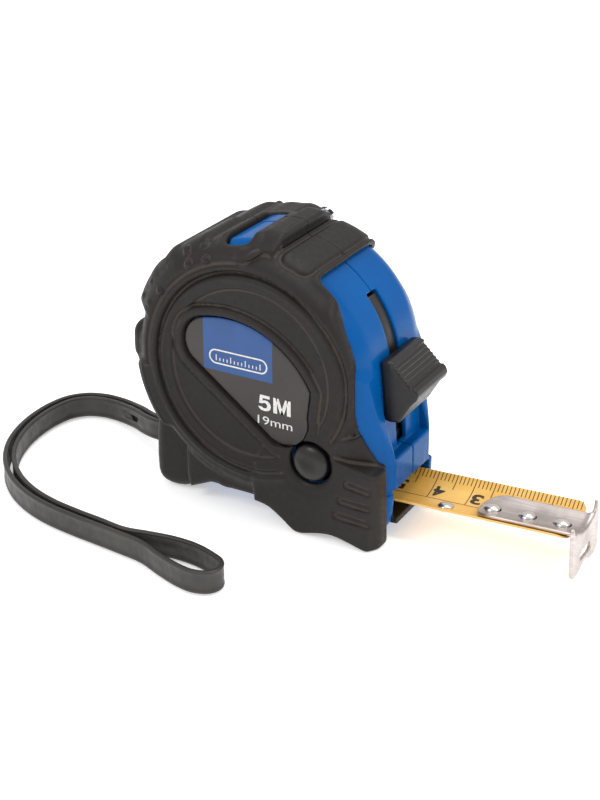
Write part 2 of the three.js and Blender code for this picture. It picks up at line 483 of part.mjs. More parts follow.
// ---------------------------------------------------------------- wrist strap
put("strap_pin", disc(1.5, -5.3, 5.3, ...PIN, 16), screwSteel);
put("strap_tab", cut(slab([[-37, -36.2], [-31.8, -35.2], [-25.2, -35.1], [-25.2, -25.7], [-30, -26.2], [-37, -28.9]], -2.4, 2.4, 0.5, 0.5, 1), disc(1.5 + GAP, -6, 6, ...PIN, 16)), strapRubber);
{
  // centre line of the doubled strap: x, y, height of the middle of its width above the table
  const main = [
    [-37.6, 0.1, 6.3], [-41.5, 1.0, 6.0], [-45.5, 2.9, 5.4], [-49.5, 5.2, 4.8], [-54, 7.4, 4.0], [-59, 8.9, 3.5], [-64, 9.1, 3.3],
    [-68.5, 7.4, 3.3], [-71.8, 3.6, 3.3], [-73.2, -1.8, 3.3], [-73.4, -7.5, 3.3], [-72.7, -13.5, 3.3], [-71.1, -19.5, 3.3],
    [-68.6, -25.3, 3.3], [-65, -30.8, 3.3], [-60.3, -35.8, 3.3], [-54.5, -40, 3.3], [-48, -43.1, 3.3], [-41, -45.1, 3.3],
    [-33.5, -46.2, 3.3], [-26, -46.9, 3.3], [-18.5, -47.6, 3.3],
  ];
  const end = [[-11.5, -49.6, 3.3], [-4.5, -52.2, 3.3], [1.5, -54.0, 3.3], [6, -54.4, 3.3], [9.3, -53.0, 3.3], [10.4, -50.4, 3.3],
    [9.2, -47.7, 3.3], [5.2, -45.8, 3.3], [0, -44.5, 3.3], [-6, -44.4, 3.3], [-12.5, -45.4, 3.3]];
  const side = (s) => main.map((p, i) => {
    const a = main[max(0, i - 1)], b = main[min(main.length - 1, i + 1)], l = hypot(b[0] - a[0], b[1] - a[1]);
    const k = i === 0 ? 0.75 : i === 1 ? 0.9 : 1;
    return [p[0] - ((b[1] - a[1]) / l) * s * k, p[1] + ((b[0] - a[0]) / l) * s * k, p[2]];
  });
  const path = [...side(-STRAP_RUN), ...end, ...side(STRAP_RUN).reverse()];
  const curve = new THREE.CatmullRomCurve3(path.map((p) => new THREE.Vector3(...p)), false, "centripetal");
  const n = 110, v = [], idx = [];
  for (let i = 0; i <= n; i++) {
    const c = curve.getPointAt(i / n), t = curve.getTangentAt(i / n), l = hypot(t.x, t.y);
    const nx = -t.y / l, ny = t.x / l, h = STRAP_W / 2, k = STRAP_T / 2, z = c.z - AXLE_H;
    v.push(c.x + nx * k, c.y + ny * k, z - h, c.x - nx * k, c.y - ny * k, z - h, c.x - nx * k, c.y - ny * k, z + h, c.x + nx * k, c.y + ny * k, z + h);
    if (i < n)
      for (let j = 0; j < 4; j++) {
        const a = 4 * i + j, b = 4 * i + ((j + 1) % 4);
        idx.push(a, a + 4, b, b, a + 4, b + 4);
      }
  }
  idx.push(0, 1, 2, 0, 2, 3);
  const e = 4 * n;
  idx.push(e, e + 2, e + 1, e, e + 3, e + 2);
  const make = (ix) => {
    const g = new THREE.BufferGeometry();
    g.setAttribute("position", new THREE.BufferAttribute(new Float32Array(v), 3));
    g.setIndex(ix);
    return solid(g);
  };
  let s = make(idx);
  if (s.volume() < 0) {
    const r = [];
    for (let i = 0; i < idx.length; i += 3) r.push(idx[i], idx[i + 2], idx[i + 1]);
    s = make(r);
  }
  // the keeper that holds the two runs together just behind the case
  put("wrist_strap", s, strapRubber, true);
}

// ---------------------------------------------------------------- assembly
const lo = [1e9, 1e9, 1e9], hi = [-1e9, -1e9, -1e9];
for (const [, m, , cord] of pieces) {
  if (cord) continue;
  const b = m.boundingBox();
  for (let k = 0; k < 3; k++) {
    lo[k] = min(lo[k], b.min[k]);
    hi[k] = max(hi[k], b.max[k]);
  }
}
const shift = [-(lo[0] + hi[0]) / 2, -(lo[1] + hi[1]) / 2, -lo[2]];

const group = new THREE.Group();
group.name = "tape_measure";
for (const [name, m, material] of pieces) {
  const raw = m.translate(shift).getMesh();
  const count = raw.numVert, pos = new Float32Array(count * 3);
  for (let i = 0; i < count; i++)
    for (let k = 0; k < 3; k++) pos[3 * i + k] = raw.vertProperties[i * raw.numProp + k];
  const g = new THREE.BufferGeometry();
  g.setAttribute("position", new THREE.BufferAttribute(pos, 3));
  g.setIndex(new THREE.BufferAttribute(new Uint32Array(raw.triVerts), 1));
  const mesh = new THREE.Mesh(g.toNonIndexed(), material);
  mesh.geometry.computeVertexNormals();
  mesh.name = name;
  group.add(mesh);
}
export default group;
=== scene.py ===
import bpy
import math
import numpy as np
from mathutils import Matrix, Vector


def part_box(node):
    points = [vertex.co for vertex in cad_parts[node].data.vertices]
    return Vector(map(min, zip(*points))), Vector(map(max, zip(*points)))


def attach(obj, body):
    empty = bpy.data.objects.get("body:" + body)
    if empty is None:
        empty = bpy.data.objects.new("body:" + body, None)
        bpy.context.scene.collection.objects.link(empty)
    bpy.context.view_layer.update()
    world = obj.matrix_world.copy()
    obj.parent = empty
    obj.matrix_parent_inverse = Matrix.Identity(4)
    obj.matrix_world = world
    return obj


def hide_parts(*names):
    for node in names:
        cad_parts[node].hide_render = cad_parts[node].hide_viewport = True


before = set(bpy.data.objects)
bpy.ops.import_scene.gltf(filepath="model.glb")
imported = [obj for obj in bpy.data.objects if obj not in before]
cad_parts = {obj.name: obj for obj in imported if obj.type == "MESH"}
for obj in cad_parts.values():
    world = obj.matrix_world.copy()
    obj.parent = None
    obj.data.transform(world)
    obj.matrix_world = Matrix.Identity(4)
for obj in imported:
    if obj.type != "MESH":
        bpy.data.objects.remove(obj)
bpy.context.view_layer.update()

# ------------------------------------------------------------------ places, all from the CAD frame
# Lengths below are in millimetres about the reel axle: x forward, y across (0 on the middle plane), w up.
_lo, _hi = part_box("axle_post")
_nlo, _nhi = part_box("case_near")
AX = (_lo[0] + _hi[0]) * 500.0
AZ = (_lo[2] + _hi[2]) * 500.0
MY = _nhi[1] * 1000.0 + 0.15
ORIGIN = np.array([AX, MY, AZ])


def to_part(p):
    return (np.asarray(p, float).reshape(-1, 3) + ORIGIN) / 1000.0


PITCH = math.radians(2.8)
ZERO = np.array([77.5, 0.0, -30.3])


def blade_to_case(p):
    """From the blade's own frame (x from the zero mark, y across, z from the bottom of its trough)."""
    p = np.asarray(p, float).reshape(-1, 3)
    c, s = math.cos(PITCH), math.sin(PITCH)
    return np.stack([p[:, 0] * c - p[:, 2] * s, p[:, 1], p[:, 0] * s + p[:, 2] * c], 1) + ZERO


# ------------------------------------------------------------------ camera
scene = bpy.context.scene
cam_data = bpy.data.cameras.new("camera")
cam = bpy.data.objects.new("camera", cam_data)
scene.collection.objects.link(cam)
right = Vector((0.8706637, 0.4918776, -0.0010438))
back = Vector((0.4427316, -0.7827431, 0.4373809)).normalized()
up = back.cross(right).normalized()
right = up.cross(back).normalized()
at = Vector(to_part([177.30, -308.50, 158.24])[0])
cam.matrix_world = Matrix(((right.x, up.x, back.x, at.x), (right.y, up.y, back.y, at.y), (right.z, up.z, back.z, at.z), (0, 0, 0, 1)))
cam_data.sensor_fit = "AUTO"
cam_data.sensor_width = 36.0
cam_data.lens = 71.93
cam_data.clip_start = 0.01
cam_data.clip_end = 20.0
scene.camera = cam
scene.view_settings.view_transform = "Standard"
scene.view_settings.look = "None"
scene.view_settings.exposure = 0.0
scene.view_settings.gamma = 1.0


# ------------------------------------------------------------------ materials
def rgb(h):
    v = [int(h[i : i + 2], 16) / 255 for i in (1, 3, 5)]
    return [c / 12.92 if c <= 0.04045 else ((c + 0.055) / 1.055) ** 2.4 for c in v] + [1.0]


class Mat:
    """A Principled material with small helpers for its procedural inputs."""

    def __init__(self, name):
        self.m = bpy.data.materials.new(name)
        self.m.use_nodes = True
        self.t = self.m.node_tree
        self.b = self.t.nodes["Principled BSDF"]
        self.co = self.t.nodes.new("ShaderNodeTexCoord")
        self.obj = self.co.outputs["Object"]

    def set(self, **k):
        for n, v in k.items():
            self.b.inputs[n.replace("_", " ")].default_value = v
        return self

    def node(self, kind, **k):
        n = self.t.nodes.new(kind)
        for a, v in k.items():
            setattr(n, a, v)
        return n

    def link(self, a, b):
        self.t.links.new(a, b)

    def noise(self, scale, detail=3.0, rough=0.55, stretch=None, dist=0.0):
        n = self.node("ShaderNodeTexNoise")
        n.inputs["Scale"].default_value = scale
        n.inputs["Detail"].default_value = detail
        n.inputs["Roughness"].default_value = rough
        n.inputs["Distortion"].default_value = dist
        src = self.obj
        if stretch:
            mp = self.node("ShaderNodeMapping")
            mp.inputs["Scale"].default_value = stretch
            self.link(self.obj, mp.inputs["Vector"])
            src = mp.outputs["Vector"]
        self.link(src, n.inputs["Vector"])
        return n.outputs["Fac"]

    def voronoi(self, scale, feature="F1"):
        n = self.node("ShaderNodeTexVoronoi", feature=feature)
        n.inputs["Scale"].default_value = scale
        self.link(self.obj, n.inputs["Vector"])
        return n.outputs["Distance"]

    def ramp(self, fac, stops):
        r = self.node("ShaderNodeValToRGB")
        e = r.color_ramp.elements
        while len(e) < len(stops):
            e.new(0.5)
        for i, (p, c) in enumerate(stops):
            e[i].position = p
            e[i].color = c if hasattr(c, "__len__") else (c, c, c, 1)
        self.link(fac, r.inputs["Fac"])
        return r.outputs["Color"]

    def math(self, op, a, b=None, clamp=False):
        n = self.node("ShaderNodeMath", operation=op, use_clamp=clamp)
        for i, v in enumerate((a, b)):
            if v is None:
                continue
            if isinstance(v, (int, float)):
                n.inputs[i].default_value = v
            else:
                self.link(v, n.inputs[i])
        return n.outputs[0]

    def mix(self, fac, a, b):
        n = self.node("ShaderNodeMix", data_type="RGBA")
        if isinstance(fac, (int, float)):
            n.inputs["Factor"].default_value = fac
        else:
            self.link(fac, n.inputs["Factor"])
        for i, v in ((6, a), (7, b)):
            if hasattr(v, "__len__"):
                n.inputs[i].default_value = v
            else:
                self.link(v, n.inputs[i])
        return n.outputs[2]

    def bump(self, heights):
        """heights: list of (field, strength, distance in metres)"""
        prev = None
        for h, s, d in heights:
            n = self.node("ShaderNodeBump")
            n.inputs["Strength"].default_value = s
            n.inputs["Distance"].default_value = d
            self.link(h, n.inputs["Height"])
            if prev is not None:
                self.link(prev, n.inputs["Normal"])
            prev = n.outputs["Normal"]
        self.link(prev, self.b.inputs["Normal"])
        return self

    def edges(self, lo, hi):
        """0 on flat ground, 1 on convex edges, from the mesh's own pointiness"""
        g = self.node("ShaderNodeNewGeometry")
        return self.ramp(g.outputs["Pointiness"], [(lo, 0.0), (hi, 1.0)])


def rubber_material(name, dark, light, rough=0.52, fine=5200, spec=0.42):
    k = Mat(name)
    cloud = k.noise(55, 4)
    fleck = k.noise(900, 2)
    base = k.mix(k.ramp(cloud, [(0.3, 0.0), (0.75, 1.0)]), rgb(dark), rgb(light))
    # convex edges lightened: partly rubbed wear, partly a painted highlight along the ridges
    edge_wear_and_highlight = k.math("MULTIPLY", k.edges(0.51, 0.60), k.ramp(k.noise(180, 3), [(0.35, 0.1), (0.7, 0.4)]))
    base = k.mix(edge_wear_and_highlight, base, rgb("#4E453F"))
    # painted shade: concave creases and grooves are darkened towards near black
    base = k.mix(k.math("MULTIPLY", k.edges(0.492, 0.455), 0.75), base, rgb("#0B0908"))
    k.link(base, k.b.inputs["Base Color"])
    k.link(k.ramp(fleck, [(0.3, rough - 0.07), (0.7, rough + 0.07)]), k.b.inputs["Roughness"])
    k.set(Specular_IOR_Level=spec)
    k.bump([(k.noise(fine, 2), 0.22, 0.00006), (k.noise(1400, 2), 0.12, 0.00008)])
    return k.m


def steel_material(name, a, b, rough=0.3, along=(30, 1500, 1500), stain=None):
    k = Mat(name)
    k.set(Metallic=1.0)
    grain = k.noise(1.0, 4, 0.6, stretch=along)
    base = k.mix(k.ramp(grain, [(0.3, 0.0), (0.7, 1.0)]), rgb(a), rgb(b))
    if stain:
        base = k.mix(k.ramp(k.noise(140, 4), [(0.45, 0.0), (0.72, 0.55)]), base, rgb(stain))
    k.link(base, k.b.inputs["Base Color"])
    k.link(k.ramp(k.noise(260, 3), [(0.3, rough - 0.06), (0.75, rough + 0.12)]), k.b.inputs["Roughness"])
    k.bump([(grain, 0.10, 0.00003), (k.noise(900, 2), 0.06, 0.00003)])
    return k.m


M = {}
M["rubber"] = rubber_material("grip_rubber", "#302823", "#3A322D", spec=0.27)
M["rubber_dark"] = rubber_material("slider_rubber", "#120E0C", "#1A1512", rough=0.38, spec=0.42)
M["bumper"] = rubber_material("bumper_rubber", "#171514", "#211E1D", rough=0.55)
M["pad"] = rubber_material("brake_pad", "#4A4540", "#5A544E", rough=0.8)

k = Mat("blue_abs")
cloud = k.noise(40, 3)
k.link(k.mix(k.ramp(cloud, [(0.3, 0.0), (0.7, 1.0)]), rgb("#004C8C"), rgb("#005498")), k.b.inputs["Base Color"])
k.link(k.ramp(k.noise(700, 3), [(0.3, 0.20), (0.75, 0.30)]), k.b.inputs["Roughness"])
k.set(Specular_IOR_Level=0.08, Coat_Weight=0.07, Coat_Roughness=0.08, Subsurface_Weight=0.0)
k.bump([(k.noise(3800, 2), 0.02, 0.00003), (k.noise(220, 2), 0.05, 0.0001)])
M["blue"] = k.m

k = Mat("black_moulded")
k.link(k.mix(k.ramp(k.noise(60, 3), [(0.3, 0.0), (0.7, 1.0)]), rgb("#2A2624"), rgb("#37322F")), k.b.inputs["Base Color"])
k.link(k.ramp(k.noise(900, 3), [(0.3, 0.34), (0.75, 0.46)]), k.b.inputs["Roughness"])
k.bump([(k.noise(5200, 2), 0.12, 0.00004)])
M["black"] = k.m

k = Mat("slot_strip")
k.link(k.mix(k.ramp(k.noise(60, 3), [(0.3, 0.0), (0.7, 1.0)]), rgb("#14110F"), rgb("#1D1917")), k.b.inputs["Base Color"])
k.link(k.ramp(k.noise(900, 3), [(0.3, 0.40), (0.75, 0.52)]), k.b.inputs["Roughness"])
k.bump([(k.noise(5200, 2), 0.12, 0.00004)])
M["strip"] = k.m

M["steel"] = steel_material("bare_steel", "#B3A8A4", "#CFC6C2", rough=0.34, stain="#8E8380")
M["rivet"] = steel_material("rivet_steel", "#C9C3C0", "#E4DFDC", rough=0.22)
M["screw"] = steel_material("screw_steel", "#A9ABAE", "#C6C8CB", rough=0.28, along=(900, 900, 900))
M["spring"] = steel_material("spring_steel", "#6E747C", "#8F969E", rough=0.3, along=(600, 20, 600))

k = Mat("blade_yellow")
grain = k.noise(1.0, 4, 0.6, stretch=(25, 900, 900))
base = k.mix(k.ramp(k.noise(90, 3), [(0.3, 0.0), (0.7, 1.0)]), rgb("#DDA648"), rgb("#EDBD63"))
base = k.mix(k.ramp(grain, [(0.45, 0.0), (0.8, 0.35)]), base, rgb("#C98F35"))
k.link(base, k.b.inputs["Base Color"])
k.link(k.ramp(k.noise(500, 3), [(0.3, 0.26), (0.75, 0.38)]), k.b.inputs["Roughness"])
k.set(Specular_IOR_Level=0.5, Coat_Weight=0.3, Coat_Roughness=0.18)
k.bump([(grain, 0.05, 0.00003)])
M["blade"] = k.m

k = Mat("blade_ink")
k.link(k.mix(k.ramp(k.noise(2500, 3), [(0.35, 0.0), (0.8, 1.0)]), rgb("#1E1812"), rgb("#4A3A22")), k.b.inputs["Base Color"])
k.link(k.ramp(k.noise(1500, 2), [(0.3, 0.35), (0.75, 0.5)]), k.b.inputs["Roughness"])
M["ink"] = k.m

k = Mat("print_grey")
k.link(k.mix(k.ramp(k.noise(1800, 3), [(0.35, 0.0), (0.8, 1.0)]), rgb("#C9C6C3"), rgb("#E2E0DE")), k.b.inputs["Base Color"])
k.link(k.ramp(k.noise(1500, 2), [(0.3, 0.4), (0.75, 0.55)]), k.b.inputs["Roughness"])
M["print"] = k.m

k = Mat("reel_plastic")
k.link(k.mix(k.ramp(k.noise(60, 3), [(0.3, 0.0), (0.7, 1.0)]), rgb("#2A2D32"), rgb("#383C42")), k.b.inputs["Base Color"])
k.link(k.ramp(k.noise(900, 3), [(0.3, 0.42), (0.75, 0.55)]), k.b.inputs["Roughness"])
k.bump([(k.noise(3000, 2), 0.15, 0.00005)])
M["reel"] = k.m

k = Mat("wound_blade")
turns = k.noise(1.0, 2, 0.5, stretch=(2600, 4, 2600))
k.link(k.mix(k.ramp(turns, [(0.4, 0.0), (0.6, 1.0)]), rgb("#8E6B2C"), rgb("#E0B25A")), k.b.inputs["Base Color"])
k.link(k.ramp(k.noise(500, 3), [(0.3, 0.3), (0.75, 0.45)]), k.b.inputs["Roughness"])
k.bump([(turns, 0.5, 0.0001)])
M["coil"] = k.m

k = Mat("badge")
# a dark satin plate with a printed blue field that ends at a straight front edge and a straight lower edge
sep = k.node("ShaderNodeSeparateXYZ")
k.link(k.obj, sep.inputs["Vector"])


def edge_at(value, axis_mm, soft=0.00006, above=True):
    e = k.node("ShaderNodeMapRange", interpolation_type="SMOOTHSTEP")
    a, b = axis_mm / 1000 - soft, axis_mm / 1000 + soft
    e.inputs["From Min"].default_value = a
    e.inputs["From Max"].default_value = b
    e.inputs["To Min"].default_value = 0.0 if above else 1.0
    e.inputs["To Max"].default_value = 1.0 if above else 0.0
    k.link(value, e.inputs["Value"])
    return e.outputs["Result"]


left = edge_at(sep.outputs["X"], -12.45 + AX)
rightm = edge_at(sep.outputs["X"], 6.35 + AX, above=False)
bottom = edge_at(sep.outputs["Z"], -0.9 + AZ)
field = k.math("MULTIPLY", k.math("MULTIPLY", left, rightm), bottom)
plate = k.mix(k.ramp(k.noise(60, 3), [(0.3, 0.0), (0.7, 1.0)]), rgb("#26211E"), rgb("#2F2926"))
blue = k.mix(k.ramp(k.noise(80, 3), [(0.3, 0.0), (0.7, 1.0)]), rgb("#143F76"), rgb("#1C4A86"))
k.link(k.mix(field, plate, blue), k.b.inputs["Base Color"])
k.link(k.ramp(k.noise(1100, 3), [(0.3, 0.36), (0.75, 0.48)]), k.b.inputs["Roughness"])
k.bump([(k.noise(6000, 2), 0.16, 0.00004)])
M["badge"] = k.m

k = Mat("strap_rubber")
k.link(k.mix(k.ramp(k.noise(70, 4), [(0.3, 0.0), (0.75, 1.0)]), rgb("#211D1A"), rgb("#35302B")), k.b.inputs["Base Color"])
k.link(k.ramp(k.noise(600, 3), [(0.3, 0.38), (0.75, 0.56)]), k.b.inputs["Roughness"])
k.bump([(k.noise(420, 4), 0.35, 0.00018), (k.noise(3800, 2), 0.2, 0.00005)])
M["strap"] = k.m

k = Mat("floor_white")
k.link(k.mix(k.ramp(k.noise(3, 2), [(0.3, 0.0), (0.7, 1.0)]), (0.93, 0.93, 0.93, 1), (0.95, 0.95, 0.95, 1)), k.b.inputs["Base Color"])
k.set(Roughness=0.9, Specular_IOR_Level=0.1, Emission_Color=(1, 1, 1, 1), Emission_Strength=0.42)
M["floor"] = k.m


# ------------------------------------------------------------------ mesh helpers
def mesh_object(name, verts, faces, material, body, node=None, smooth=True):
    """verts in part metres; faces an (n, 3 or 4) array, or a list of lists."""
    me = bpy.data.meshes.new(name)
    verts = np.asarray(verts, np.float32)
    if isinstance(faces, np.ndarray):
        n, c = faces.shape
        me.vertices.add(len(verts))
        me.vertices.foreach_set("co", verts.ravel())
        me.loops.add(n * c)
        me.loops.foreach_set("vertex_index", faces.astype(np.int32).ravel())
        me.polygons.add(n)
        me.polygons.foreach_set("loop_start", np.arange(0, n * c, c, dtype=np.int32))
        me.polygons.foreach_set("loop_total", np.full(n, c, dtype=np.int32))
        me.update(calc_edges=True)
    else:
        me.from_pydata([tuple(v) for v in verts], [], [list(f) for f in faces])
        me.update()
    me.validate()
    me.polygons.foreach_set("use_smooth", [smooth] * len(me.polygons))
    me.materials.append(material)
    o = bpy.data.objects.new(name, me)
    scene.collection.objects.link(o)
    if body:
        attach(o, body)
    if node:
        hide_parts(*([node] if isinstance(node, str) else node))
    return o


def sstep(a, b, v):
    t = np.clip((v - a) / (b - a), 0, 1)
    return t * t * (3 - 2 * t)


def smin(a, b, k):
    h = np.maximum(k - np.abs(a - b), 0) / k
    return np.minimum(a, b) - h * h * k * 0.25


def smax(a, b, k):
    return -smin(-a, -b, k)


class Grid:
    """Sample points: x forward, a across, w up, in millimetres."""

    def __init__(self, x, a, w, h):
        self.lo = np.array([x[0], a[0], w[0]])
        self.h = h
        self.x = np.arange(x[0], x[1] + h, h, dtype=np.float32)[:, None, None]
        self.a = np.arange(a[0], a[1] + h, h, dtype=np.float32)[None, :, None]
        self.w = np.arange(w[0], w[1] + h, h, dtype=np.float32)[None, None, :]


def chaikin(p, n=2, closed=True):
    p = np.asarray(p, float)
    for _ in range(n):
        q = np.roll(p, -1, 0) if closed else p[1:]
        a = p if closed else p[:-1]
        s = np.stack([a * 0.75 + q * 0.25, a * 0.25 + q * 0.75], 1).reshape(-1, 2)
        p = s if closed else np.vstack([p[:1], s, p[-1:]])
    return p


def poly(u, v, pts):
    """Signed distance to a closed polygon in the (u, v) plane, negative inside."""
    pts = np.asarray(pts, np.float32)
    d = np.full(np.broadcast(u, v).shape, 1e9, np.float32)
    sign = np.ones_like(d)
    for i in range(len(pts)):
        a, b = pts[i], pts[i - 1]
        ex, ey = b - a
        wx, wy = u - a[0], v - a[1]
        t = np.clip((wx * ex + wy * ey) / max(ex * ex + ey * ey, 1e-9), 0, 1)
        d = np.minimum(d, (wx - ex * t) ** 2 + (wy - ey * t) ** 2)
        c1, c2, c3 = v >= a[1], v < b[1], (ex * wy) > (ey * wx)
        sign = np.where((c1 & c2 & c3) | (~c1 & ~c2 & ~c3), -sign, sign)
    return sign * np.sqrt(d)


def line_dist(u, v, pts):
    """Distance to an open polyline."""
    d = np.full(np.broadcast(u, v).shape, 1e9, np.float32)
    for a, b in zip(pts[:-1], pts[1:]):
        ex, ey = b[0] - a[0], b[1] - a[1]
        wx, wy = u - a[0], v - a[1]
        t = np.clip((wx * ex + wy * ey) / max(ex * ex + ey * ey, 1e-9), 0, 1)
        d = np.minimum(d, (wx - ex * t) ** 2 + (wy - ey * t) ** 2)
    return np.sqrt(d)


def slabd(d2, da, r):
    """A flat shape of distance d2 given the distance da to its two faces, with edges rounded by r."""
    a, b = d2 + r, da + r
    return np.minimum(np.maximum(a, b), 0) + np.sqrt(np.maximum(a, 0) ** 2 + np.maximum(b, 0) ** 2) - r


def surface_nets(D, lo, h):
    inside = D < 0
    c = np.zeros(tuple(n - 1 for n in D.shape), np.uint8)
    corners = [(i, j, k) for i in (0, 1) for j in (0, 1) for k in (0, 1)]
    cut = lambda m, o: m[o[0] : m.shape[0] - 1 + o[0], o[1] : m.shape[1] - 1 + o[1], o[2] : m.shape[2] - 1 + o[2]]
    for o in corners:
        c += cut(inside, o)
    active = (c > 0) & (c < 8)
    ai = np.argwhere(active)
    idx = np.full(active.shape, -1, np.int32)
    idx[active] = np.arange(len(ai))
    acc = np.zeros((len(ai), 3), np.float64)
    cnt = np.zeros(len(ai))
    vals = {o: D[ai[:, 0] + o[0], ai[:, 1] + o[1], ai[:, 2] + o[2]].astype(np.float64) for o in corners}
    for a in corners:
        for ax in range(3):
            if a[ax]:
                continue
            b = tuple(v + (1 if i == ax else 0) for i, v in enumerate(a))
            da, db = vals[a], vals[b]
            m = (da < 0) != (db < 0)
            t = da[m] / (da[m] - db[m])
            p = np.tile(np.array(a, float), (m.sum(), 1))
            p[:, ax] += t
            acc[m] += p
            cnt[m] += 1
    V = lo + h * (ai + acc / cnt[:, None])
    quads = []
    for ax in range(3):
        u, v = [(1, 2), (2, 0), (0, 1)][ax]
        sl0, sl1 = [slice(1, -1)] * 3, [slice(1, -1)] * 3
        sl0[ax], sl1[ax] = slice(0, -1), slice(1, None)
        s0, s1 = inside[tuple(sl0)], inside[tuple(sl1)]
        e = np.argwhere(s0 != s1)
        out = s0[e[:, 0], e[:, 1], e[:, 2]]
        e = e.copy()
        base = e.copy()  # cell index with u, v offset -1 relative to the edge's own point
        q = []
        for du, dv in ((0, 0), (1, 0), (1, 1), (0, 1)):
            t = base.copy()
            t[:, u] += du
            t[:, v] += dv
            q.append(idx[t[:, 0], t[:, 1], t[:, 2]])
        q = np.stack(q, 1)
        q[~out] = q[~out][:, ::-1]
        quads.append(q)
    return V, np.vstack(quads)


def relax(V, Q, n=1, f=0.5):
    """Evens the small steps of the sampling."""
    e = np.vstack([Q[:, [0, 1]], Q[:, [1, 2]], Q[:, [2, 3]], Q[:, [3, 0]]])
    for _ in range(n):
        s = np.zeros_like(V)
        c = np.bincount(e.ravel(), minlength=len(V)).astype(float)
        for i in range(3):
            s[:, i] = np.bincount(e[:, 0], V[e[:, 1], i], len(V)) + np.bincount(e[:, 1], V[e[:, 0], i], len(V))
        V = V * (1 - f) + f * s / np.maximum(c, 1)[:, None]
    return V


def field_piece(name, D, g, material, body, node, side=0, smooth=1, case=True):
    """Meshes a sampled field. side -1 or 1: the across coordinate counts out from the middle plane on that side."""
    D = np.ascontiguousarray(np.broadcast_to(D, (g.x.shape[0], g.a.shape[1], g.w.shape[2]))).astype(np.float32)
    D[0], D[-1] = 1, 1
    D[:, 0], D[:, -1] = 1, 1
    D[:, :, 0], D[:, :, -1] = 1, 1
    V, Q = surface_nets(D, g.lo, g.h)
    V = relax(V, Q, smooth, 0.4)
    if side:
        V[:, 1] *= side
        if side < 0:
            Q = Q[:, ::-1]
    P = to_part(V) if case else to_part(blade_to_case(V))
    return mesh_object(name, P, Q.copy(), material, body, node)


def lathe(name, profile, centre, material, body, node, side=-1, n=96, axis="y"):
    """profile: (radius, distance out from the middle plane) from the axis outwards and back to it."""
    rings, faces = [], []
    for r, y in profile:
        t = np.arange(n) * 2 * math.pi / n
        rings.append(np.stack([centre[0] + r * np.cos(t), np.full(n, side * y), centre[1] + r * np.sin(t)], 1))
    V = np.vstack(rings)
    for i in range(len(profile) - 1):
        for j in range(n):
            a, b = i * n + j, i * n + (j + 1) % n
            faces.append([a, b, b + n, a + n] if side < 0 else [a, a + n, b + n, b])
    o = mesh_object(name, to_part(V), np.array(faces), material, body, node)
    return o


# ------------------------------------------------------------------ shared outlines, millimetres about the axle
H = 0.3
BUTTON = (16.5, -19.2)
LUGS = [(-15.6, 26.0), (-24.4, -22.0), (2.4, 29.0)]
PLAN = np.array([[-60, 20.0], [19.5, 17.9], [23, 17.3], [26, 16.0], [28.4, 14.5], [30.6, 12.9], [32.2, 11.4], [33.4, 10.0], [34.05, 9.2], [34.6, 0]])
NOSE_FOOT = np.array([[-60, 20], [20, 18], [28, 14.8], [31.5, 13.0], [33.3, 12.1], [34.05, 10.9], [34.6, 0]])
LABEL = []


def label_outline(grow=0.0):
    p = []
    for cx, cw, r, a0, a1, n in ((-11.3, 5.6, 6.6, 225, 106, 14), (-6.0, -12.0, 24.9, 100, 26, 20), (9.2, -9.9, 6.6, 16, -135, 18)):
        for i in range(n + 1):
            t = math.radians(a0 + (a1 - a0) * i / n)
            p.append((cx + (r + grow) * math.cos(t), cw + (r + grow) * math.sin(t)))
    return np.array(p)


def angle(x, w):
    t = np.degrees(np.arctan2(w, x))
    return np.where(t < -90, t + 360, t)


def drum(rr, a, R, Yf, dr, dy):
    """A round body of radius R and half width Yf whose rim is rounded by dr radially and dy across."""
    p, q = (rr - (R - dr)) / dr, (a - (Yf - dy)) / dy
    return np.where((p > 0) & (q > 0), np.sqrt(np.maximum(p, 0) ** 2 + np.maximum(q, 0) ** 2) - 1, np.maximum(p, q) - 1) * dr


